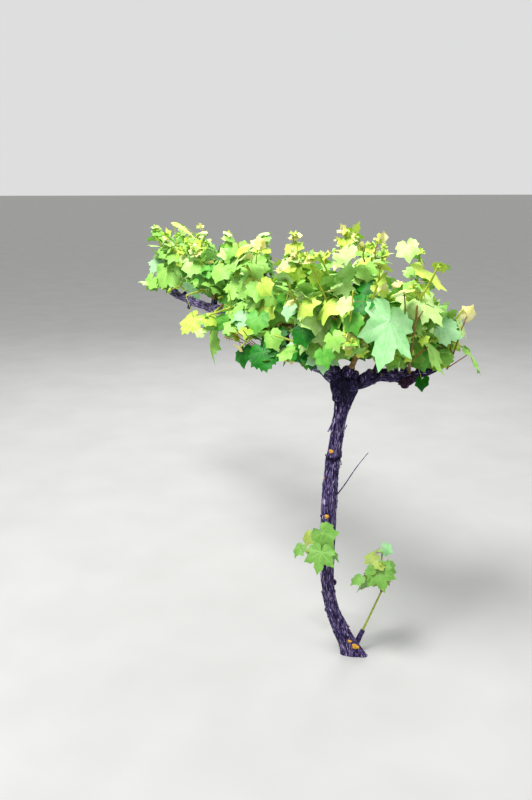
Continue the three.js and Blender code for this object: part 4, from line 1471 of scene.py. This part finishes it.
def hang_finer_leaves(crown):
    """Leaves between the source's nodes, until the crown is as close as the photograph shows it."""
    random = np.random.default_rng(77)
    for i, smaller in enumerate(BETWEEN_SIZES):
        for index, shoot in enumerate(crown.shoots):
            for j in range(shoot.spaced):
                if random.random() > filling(shoot.mass):
                    continue
                share = min((FIRST_NODE + (j + 0.55 - 0.2 * i) * INTERNODE) / shoot.length, 0.96)
                angle = math.pi * (shoot.phase + j + 0.5 + i) + (random.random() - 0.5) * 1.6
                numbers = random.random(7)
                # Their droop and their roll come from a wider range than the source's.
                numbers[3] = numbers[3] * 2 - 1.2
                numbers[6] = numbers[6] * 2 - 0.5
                crown.place(index, share, angle, numbers, smaller)


def grow_crown(masses):
    """Every leaf in its place: the photographed ones, the source's and the finer ones."""
    crown = Crown(grow_all(masses))
    nodes = np.array([[shoot.curve(t) for t in NODE_SHARES] for shoot in crown.shoots])
    for seen in SEEN_LEAVES:
        hang_seen(crown, nodes, *seen)
    crown.in_sight = np.array(stem_spots() + leaf_spots(crown.leaves))
    hang_source_leaves(crown, masses)
    hang_finer_leaves(crown)
    return crown


def pick(greens, draw):
    """The kind of green that a draw from 0 to 1 falls on."""
    return next(kind for kind, below in greens if draw < below or below == 1)


def kind_of(leaf, draw):
    """Which green a leaf has: darker low in the crown and paler above, as painted shade and painted light,
    paler still by its mass's painted light, and cream in the tufts.
    """
    mass = leaf["shoot"].mass
    # painted light: the draw is pushed towards the paler greens at the end of each list
    draw = mix(draw, 1, mass["painted_light"])
    if not mass["spread"]:
        return pick(SPROUT_GREENS, draw) if leaf["size"] > TUFT_BLADE else "young"
    if leaf["size"] < TUFT_BLADE:
        return pick(TUFT_GREENS, draw)
    if leaf["size"] < YOUNG_BLADE or leaf["share"] > 0.85:
        return pick(YOUNG_GREENS, draw)
    low = leaf["base"][2] < mass["place"][2][2] + LOW_LEAVES
    return pick(LOW_GREENS if low else HIGH_GREENS, draw)


def add_leaf(leaf, random):
    """One leaf's blade, and its veins unless it is very small."""
    blade = Blade(leaf, random)
    kind = leaf.get("kind") or kind_of(leaf, random.random())
    fine = leaf["size"] > FINE_BLADE
    veined = leaf["size"] > VEINED_BLADE
    samples, rings = (60, 4) if fine else (36, 3) if veined else (18, 2)
    add_blade(piles[f"leaves_{kind}"], piles[f"leaf_backs_{kind}"], blade, samples, rings)
    if veined:
        add_veins(piles[f"leaf_veins_{kind}"], blade, 0.4, fine)
        add_veins(piles["veins_lower"], blade, -1.2, False)


def add_mass_stem(mass):
    """The short stem between a spur and its shoots."""
    _, out, end = mass["place"]
    t = np.linspace(-0.25, 1, 6)[:, None]
    points = end + out * (mass["stem"] * t)
    thick = mix(STEM_RADII[0], STEM_RADII[1], t[:, 0]) * (1 if mass["spread"] else SPROUT_THICK)
    add_tube(piles["shoot_bases" if mass["spread"] else "shoots"], points, thick, 10)


def add_crown(crown, masses):
    """The crown's leaves, stalks, shoots, side twigs, tendrils and stems, each kind in its pile."""
    random = np.random.default_rng(5)
    last_leaves = [
        max((leaf["share"] for leaf in crown.leaves if leaf["shoot"] is shoot), default=0)
        for shoot in crown.shoots
    ]
    ends = [shoot_end(crown, shoot, last) for shoot, last in zip(crown.shoots, last_leaves)]
    tufts = []
    for shoot, (end, room) in zip(crown.shoots, ends):
        if room:
            tufts += tip_leaves(shoot, end, random)
    for shoot, (end, _) in zip(crown.shoots, ends):
        for share, angle, _ in shoot.leaves:
            if shoot.mass["spread"] and random.random() < SPRIG_SHARE and share < end:
                tufts += sprig(crown, shoot, share, angle + 0.5 * math.pi, random)
    for leaf in crown.leaves + tufts:
        add_leaf(leaf, random)
    for leaf in crown.leaves:
        red = random.random() < mix(*RED_STALKS, leaf["share"])
        add_petiole(piles["red_petioles" if red else "green_petioles"], leaf)
    for shoot, (end, _) in zip(crown.shoots, ends):
        add_cane(shoot, end)
        for share, angle, _ in shoot.leaves:
            if TENDRIL_SPAN[0] < share < min(TENDRIL_SPAN[1], end) and random.random() < TENDRIL_SHARE:
                add_tendril(shoot, share, angle + math.pi, random)
    for mass in masses:
        add_mass_stem(mass)
    for stem in SEEN_STEMS:
        add_seen_stem(*stem)


# The stubs, scars and loose strips of the old wood.
def trunk_distance(height):
    """How far along the trunk's line a height is."""
    return float(np.interp(height, trunk_line.points[:, 2], trunk_line.distances))


def view_axes():
    """To the right, towards the camera and up, with the first two level."""
    ahead, aside = CAMERA_HEADING
    return np.array([(aside, -ahead, 0), (-ahead, -aside, 0), UP])


def facing(limb, distance, offset):
    """The angle round a limb that looks towards the camera, turned by an offset to its right."""
    place = limb.line.at(distance)
    towards = unit(np.array([CAMERA_PLACE[0], CAMERA_PLACE[1], 0]) / MM - [place[0], place[1], 0])
    right = np.array([-towards[1], towards[0], 0])
    look = towards * math.cos(offset) + right * math.sin(offset)
    across = [np.interp(distance, limb.distances, limb.across[:, i]) for i in range(3)]
    other = [np.interp(distance, limb.distances, limb.other[:, i]) for i in range(3)]
    return math.atan2(look @ np.array(other), look @ np.array(across))


def add_loose_strip(limb, start, angle, length, width, lift, drift):
    """A strip of bark that hangs on at one end and stands off the limb at the other."""
    t = np.linspace(0, 1, 10)
    distance = start + length * t
    turned = angle + drift * t
    rise = 0.6 + lift * t**2
    half = width / 2 * np.sqrt(np.clip(1 - (2 * t - 1) ** 6, 0.02, 1))
    girth = limb.radius(distance, turned)
    rows = [
        limb.skin(distance, turned - half / girth, rise * 0.7),
        limb.skin(distance, turned, rise + 0.8),
        limb.skin(distance, turned + half / girth, rise * 0.8),
        limb.skin(distance, turned, rise - 0.2),
    ]
    vertices = np.stack(rows, axis=1).reshape(-1, 3)
    pale = np.full(len(vertices), 0.6)
    # the strips take their limb's painted light and painted shade as well
    piles["loose_bark"].add(vertices, grid_triangles(len(t), 4), pale + limb.shade(vertices[:, 2]))


def stub_radius(radius, seed):
    """A stub's radius, a little lumpy."""
    return lambda distance, angle: radius * (
        1 + 0.12 * np.sin(distance / 7 + seed) + 0.08 * np.sin(3 * angle + seed)
    )


def add_stub(bark, place, out, length, radius, seed, cut=False):
    """What an old pruning cut left: a short stub of wood with a flat cut face, or a round burl."""
    line = Line([place, place + out * length * 0.5, place + out * length])
    stub = Limb(
        line, 0, line.length, step=2.5, radius=stub_radius(radius, seed), strips=round(radius * 1.1),
        depth=1.6, seed=seed, rounded=3 if cut else radius, shade=even_painted_shading(STUB_PAINTED_SHADE),
    )
    stub.add_to(bark, sides=44)
    if cut:
        add_cut_face(place, out, length, radius)


def add_cut_face(place, out, length, radius):
    """The flat face of a cut stub, hollowed a little at its middle."""
    across, other = frames_along(np.array([place, place + out]))
    angle = np.arange(CUT_SIDES) * 2 * math.pi / CUT_SIDES
    rim = np.cos(angle)[:, None] * across[0] + np.sin(angle)[:, None] * other[0]
    end = place + out * (length + 0.3)
    rings = [(0.86, -1.5), (0.8, 0), (0.4, 0.3)]
    skins = [end + rim * radius * share + out * lift for share, lift in rings]
    fan = fan_triangles(len(rings) * CUT_SIDES, (len(rings) - 1) * CUT_SIDES, CUT_SIDES)
    vertices = np.vstack([*skins, end[None] - out * 0.4])
    piles["pruning_cuts"].add(vertices, np.vstack([grid_triangles(len(rings), CUT_SIDES), fan]))


def add_lichen(limb, distance, angle, radius, random):
    """A crust of lichen: a lumpy disc that clings to the bark."""
    rings, sides = 5, 22
    around = np.arange(sides) * 2 * math.pi / sides
    edge = 1 + 0.16 * np.sin(3 * around + random.random() * 6)
    edge = edge + 0.12 * np.sin(7 * around + random.random() * 6)
    rows = []
    girth = float(limb.radius(distance, angle))
    for k in range(rings):
        share = (k + 0.15) / (rings - 1)
        lump = 1.6 * (1 - share**3) + 0.7 * random.random(sides) - (2.6 if k == rings - 1 else 0)
        along = distance + np.cos(around) * edge * radius * share
        turned = angle + np.sin(around) * edge * radius * share / girth
        rows.append(limb.skin(along, turned, lump, level=0.4 * limb.depth))
    vertices = np.vstack(rows)
    hub = vertices[:sides].mean(0)[None]
    triangles = np.vstack([grid_triangles(rings, sides), fan_triangles(rings * sides, 0, sides)])
    piles["lichen"].add(np.vstack([vertices, hub]), triangles)


# The old wood.
def make_limbs():
    """The trunk, the long arm and the short arm, with their bark in piles."""
    trunk = Limb(
        trunk_line, trunk_distance(0), trunk_line.length, step=2.9, radius=trunk_radius,
        strips=42, depth=1.9, seed=11, level=120, rounded=24, shade=trunk_painted_shade,
    )
    long_arm = Limb(
        long_line, 0, long_line.length, step=4.6, radius=arm_radius(long_line, LONG_ARM_RADII, 1),
        strips=26, depth=1.7, seed=21, shade=even_painted_shading(LONG_ARM_PAINTED_LIGHT),
    )
    short_arm = Limb(
        short_line, 0, short_line.length, step=3,
        radius=arm_radius(short_line, SHORT_ARM_RADII, 4, SHORT_ARM_KNOB),
        strips=25, depth=1.8, seed=31, shade=even_painted_shading(STUB_PAINTED_SHADE),
    )
    trunk.add_to(piles["trunk_bark"], sides=180)
    long_arm.add_to(piles["long_arm_bark"], sides=110)
    short_arm.add_to(piles["short_arm_bark"], sides=110)
    return trunk, long_arm, short_arm


def spur_radius(length, thick):
    """A spur's radius, which tapers to its end."""
    return lambda distance, angle: mix(*SPUR_RADII, distance / length) * thick + 0 * angle


def add_spur(mass):
    """The spur that a mass grows from, in the bark of its limb."""
    foot, _, end = mass["place"]
    line = Line([foot, mix(foot, end, 0.5), end])
    spur = Limb(
        line, 0, line.length, step=3, radius=spur_radius(line.length, mass["thick"]),
        strips=8, depth=1.6, seed=mass["seed"], rounded=5,
    )
    limb = next((limb for limb in ("long_arm", "short_arm") if mass["name"].startswith(limb)), "trunk")
    spur.add_to(piles[f"{limb}_bark"], sides=48)


def add_trunk_marks(trunk):
    """The head's stubs and burls, the arms' burls, and the trunk's knots, flaps and dead twig."""
    bark = piles["trunk_bark"]
    view = view_axes()
    for stubs, cut in ((HEAD_STUBS, True), (HEAD_BURLS, False)):
        for place, lean, length, radius in stubs:
            add_stub(bark, HEAD + place @ view, unit(lean @ view), length, radius, int(length + radius), cut)
    for arm, distance, lean, length, radius in ARM_BURLS:
        place = (long_line if arm == "long" else short_line).at(distance)
        add_stub(piles[f"{arm}_arm_burls"], place, unit(lean @ view), length, radius, distance)
    for k, (height, offset, length, radius) in enumerate(KNOTS):
        at = trunk_distance(height)
        middle = trunk_line.at(at)
        out = unit(trunk.skin(at, facing(trunk, at, offset)) - middle)
        add_stub(bark, middle, out, length, radius, 40 + k)
    for height, offset, length, width, off in FLAPS:
        at = trunk_distance(height)
        add_loose_strip(trunk, at, facing(trunk, at, offset), -length, width, off, 0.15)
    (height, offset), reach, twig_radii = TWIG
    at = trunk_distance(height)
    t = np.linspace(0, 1, 9)[:, None]
    twig = trunk.skin(at, facing(trunk, at, offset), -4) + t * (reach @ view)
    twig = twig + np.sin(7 * t) * (0.8, 0.8, -0.8)
    add_tube(piles["loose_bark"], twig, mix(*twig_radii, t[:, 0]), 6, 0.1)


def add_arm_stubs(limb, bark, start, end, count, random):
    """Cut stubs along an arm, which point outwards and up."""
    for k in range(count):
        distance = mix(start, end, (k + 0.5 + 0.5 * (random.random() - 0.5)) / count)
        angle = random.random() * 2 * math.pi
        inner = limb.line.at(distance)
        out = unit(unit(limb.skin(distance, angle) - inner) + UP * 0.5)
        length = 32 + 8 * random.random()
        add_stub(bark, inner, out, length, 6 + 2 * random.random(), k + 3, cut=True)


def add_loose_strips(limb, count, start, end, random):
    """Loose strips all over a limb."""
    for _ in range(count):
        length = mix(25, 100, random.random() ** 2)
        at = mix(start, end - length, random.random())
        if random.random() < 0.5:
            at += length
            length = -length
        angle = random.random() * 2 * math.pi
        width = mix(1.6, 3.6, random.random())
        lift = mix(0.6, 6, random.random() ** 3)
        drift = 0.6 * (random.random() - 0.5)
        add_loose_strip(limb, at, angle, length, width, lift, drift)


def add_old_wood(masses):
    """The trunk, the arms and their spurs, with all that has grown on them or been cut from them."""
    random = np.random.default_rng(9)
    trunk, long_arm, short_arm = make_limbs()
    for mass in masses:
        add_spur(mass)
    add_trunk_marks(trunk)
    add_arm_stubs(long_arm, piles["long_arm_bark"], 120, 1400, 9, random)
    add_arm_stubs(short_arm, piles["short_arm_bark"], 90, 300, 3, random)
    for height, offset, radius in LICHENS:
        at = trunk_distance(height)
        add_lichen(trunk, at, facing(trunk, at, offset), radius, random)
    add_loose_strips(trunk, 260, 60, 950, random)
    add_loose_strips(long_arm, 160, 80, 1400, random)
    add_loose_strips(short_arm, 40, 80, 300, random)


# The pieces.
def make_bark(name, stretch, look_name=None, colours=BARK_COLOURS):
    """A piece of bark, whose fibres are drawn out where its stretch is small."""
    look = bark_look(look_name or name, stretch, colours)
    return piles[name].piece(name, look, "bark", "relief")


def make_wood_pieces():
    """The bark of the limbs, which replaces their solids, and all that sits on it."""
    for node, stretch in (("trunk", (1, 1, 0.14)), ("long_arm", (0.14, 1, 1)), ("short_arm", (1, 0.14, 1))):
        piece = make_bark(f"{node}_bark", stretch)
        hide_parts(node)
    make_bark("loose_bark", (0.5, 0.5, 0.2))
    for arm, colours in BURL_COLOURS.items():
        make_bark(f"{arm}_arm_burls", (1, 1, 1), f"{arm}_burl_bark", colours)
    piles["pruning_cuts"].piece("pruning_cuts", cut_look(), "bark")
    piles["lichen"].piece("lichen", lichen_look(), "bark")


def make_leaf_pieces(masses):
    """Each green's blades, undersides and veins, and the veins under all the leaves."""
    for kind, (shade, other, back, back_other, vein) in GREENS.items():
        look = leaf_look(f"leaf_{kind}", shade, other)
        top = piles[f"leaves_{kind}"].piece(f"leaves_{kind}", look, "leaves")
        look = leaf_look(f"leaf_back_{kind}", back, back_other, 0.7, 0.2)
        piles[f"leaf_backs_{kind}"].piece(f"leaf_backs_{kind}", look, "leaves")
        if piles[f"leaf_veins_{kind}"].count:
            look = leaf_look(f"vein_{kind}", vein, vein)
            piles[f"leaf_veins_{kind}"].piece(f"leaf_veins_{kind}", look, "leaves")
        if kind == "mid":  # this piece stands for all the others in what it replaces
            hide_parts(*[mass["name"] for mass in masses])
    look = leaf_look("vein_lower", (166, 208, 110), (190, 222, 130), 0.6)
    piles["veins_lower"].piece("veins_lower", look, "leaves")


def make_stalk_pieces():
    """Leaf stalks, shoots and tendrils."""
    for name, look_name, colour, other in STALK_COLOURS:
        piles[name].piece(name, stalk_look(look_name, colour, other), "leaves")


# The stage, the lights and the camera.
def make_stage():
    """A wide pale floor."""
    mesh = bpy.data.meshes.new("floor")
    corners = [(x * FLOOR_HALF, y * FLOOR_HALF, 0) for x, y in ((-1, -1), (1, -1), (1, 1), (-1, 1))]
    mesh.from_pydata(corners, [], [(0, 1, 2, 3)])
    mesh.materials.append(floor_look())
    floor = bpy.data.objects.new("floor", mesh)
    bpy.context.scene.collection.objects.link(floor)


def make_light(name, place, target, size, power):
    """A soft square light that looks at a point of the vine."""
    light = bpy.data.lights.new(name, "AREA")
    light.size = size
    light.energy = power
    thing = bpy.data.objects.new(name, light)
    thing.location = place
    thing.rotation_euler = (Vector(target) - Vector(place)).to_track_quat("-Z", "Y").to_euler()
    bpy.context.scene.collection.objects.link(thing)


def make_world():
    """Even light from all sides."""
    world = bpy.data.worlds.new("world")
    world.use_nodes = True
    background = world.node_tree.nodes["Background"]
    background.inputs["Color"].default_value = (0.98, 0.99, 0.98, 1)
    background.inputs["Strength"].default_value = 0.74
    bpy.context.scene.world = world


def make_camera():
    """The camera at the photograph's place."""
    camera = bpy.data.cameras.new("camera")
    camera.lens = CAMERA_LENS
    camera.sensor_fit = "VERTICAL"
    camera.sensor_height = CAMERA_SENSOR
    camera.clip_start = 0.05
    thing = bpy.data.objects.new("camera", camera)
    thing.location = CAMERA_PLACE
    heading = Vector((*CAMERA_HEADING, -math.tan(CAMERA_PITCH)))
    thing.rotation_euler = heading.to_track_quat("-Z", "Y").to_euler()
    bpy.context.scene.collection.objects.link(thing)
    bpy.context.scene.camera = thing


piles = defaultdict(Pile)  # what each piece is joined from, by the piece's name
masses = mass_list()
add_crown(grow_crown(masses), masses)
add_old_wood(masses)
make_wood_pieces()
make_leaf_pieces(masses)
make_stalk_pieces()

bpy.context.scene.view_settings.view_transform = "Standard"
make_stage()
make_light("key", (0.4, -2.2, 5.0), (-0.5, 0, 0.8), 1.8, 340)
make_light("fill", (3.0, 2.4, 2.6), (-0.5, 0, 0.8), 3.0, 40)
make_light("back", (-3.6, 1.6, 3.4), (-0.5, 0, 0.9), 2.4, 90)
make_world()
make_camera()
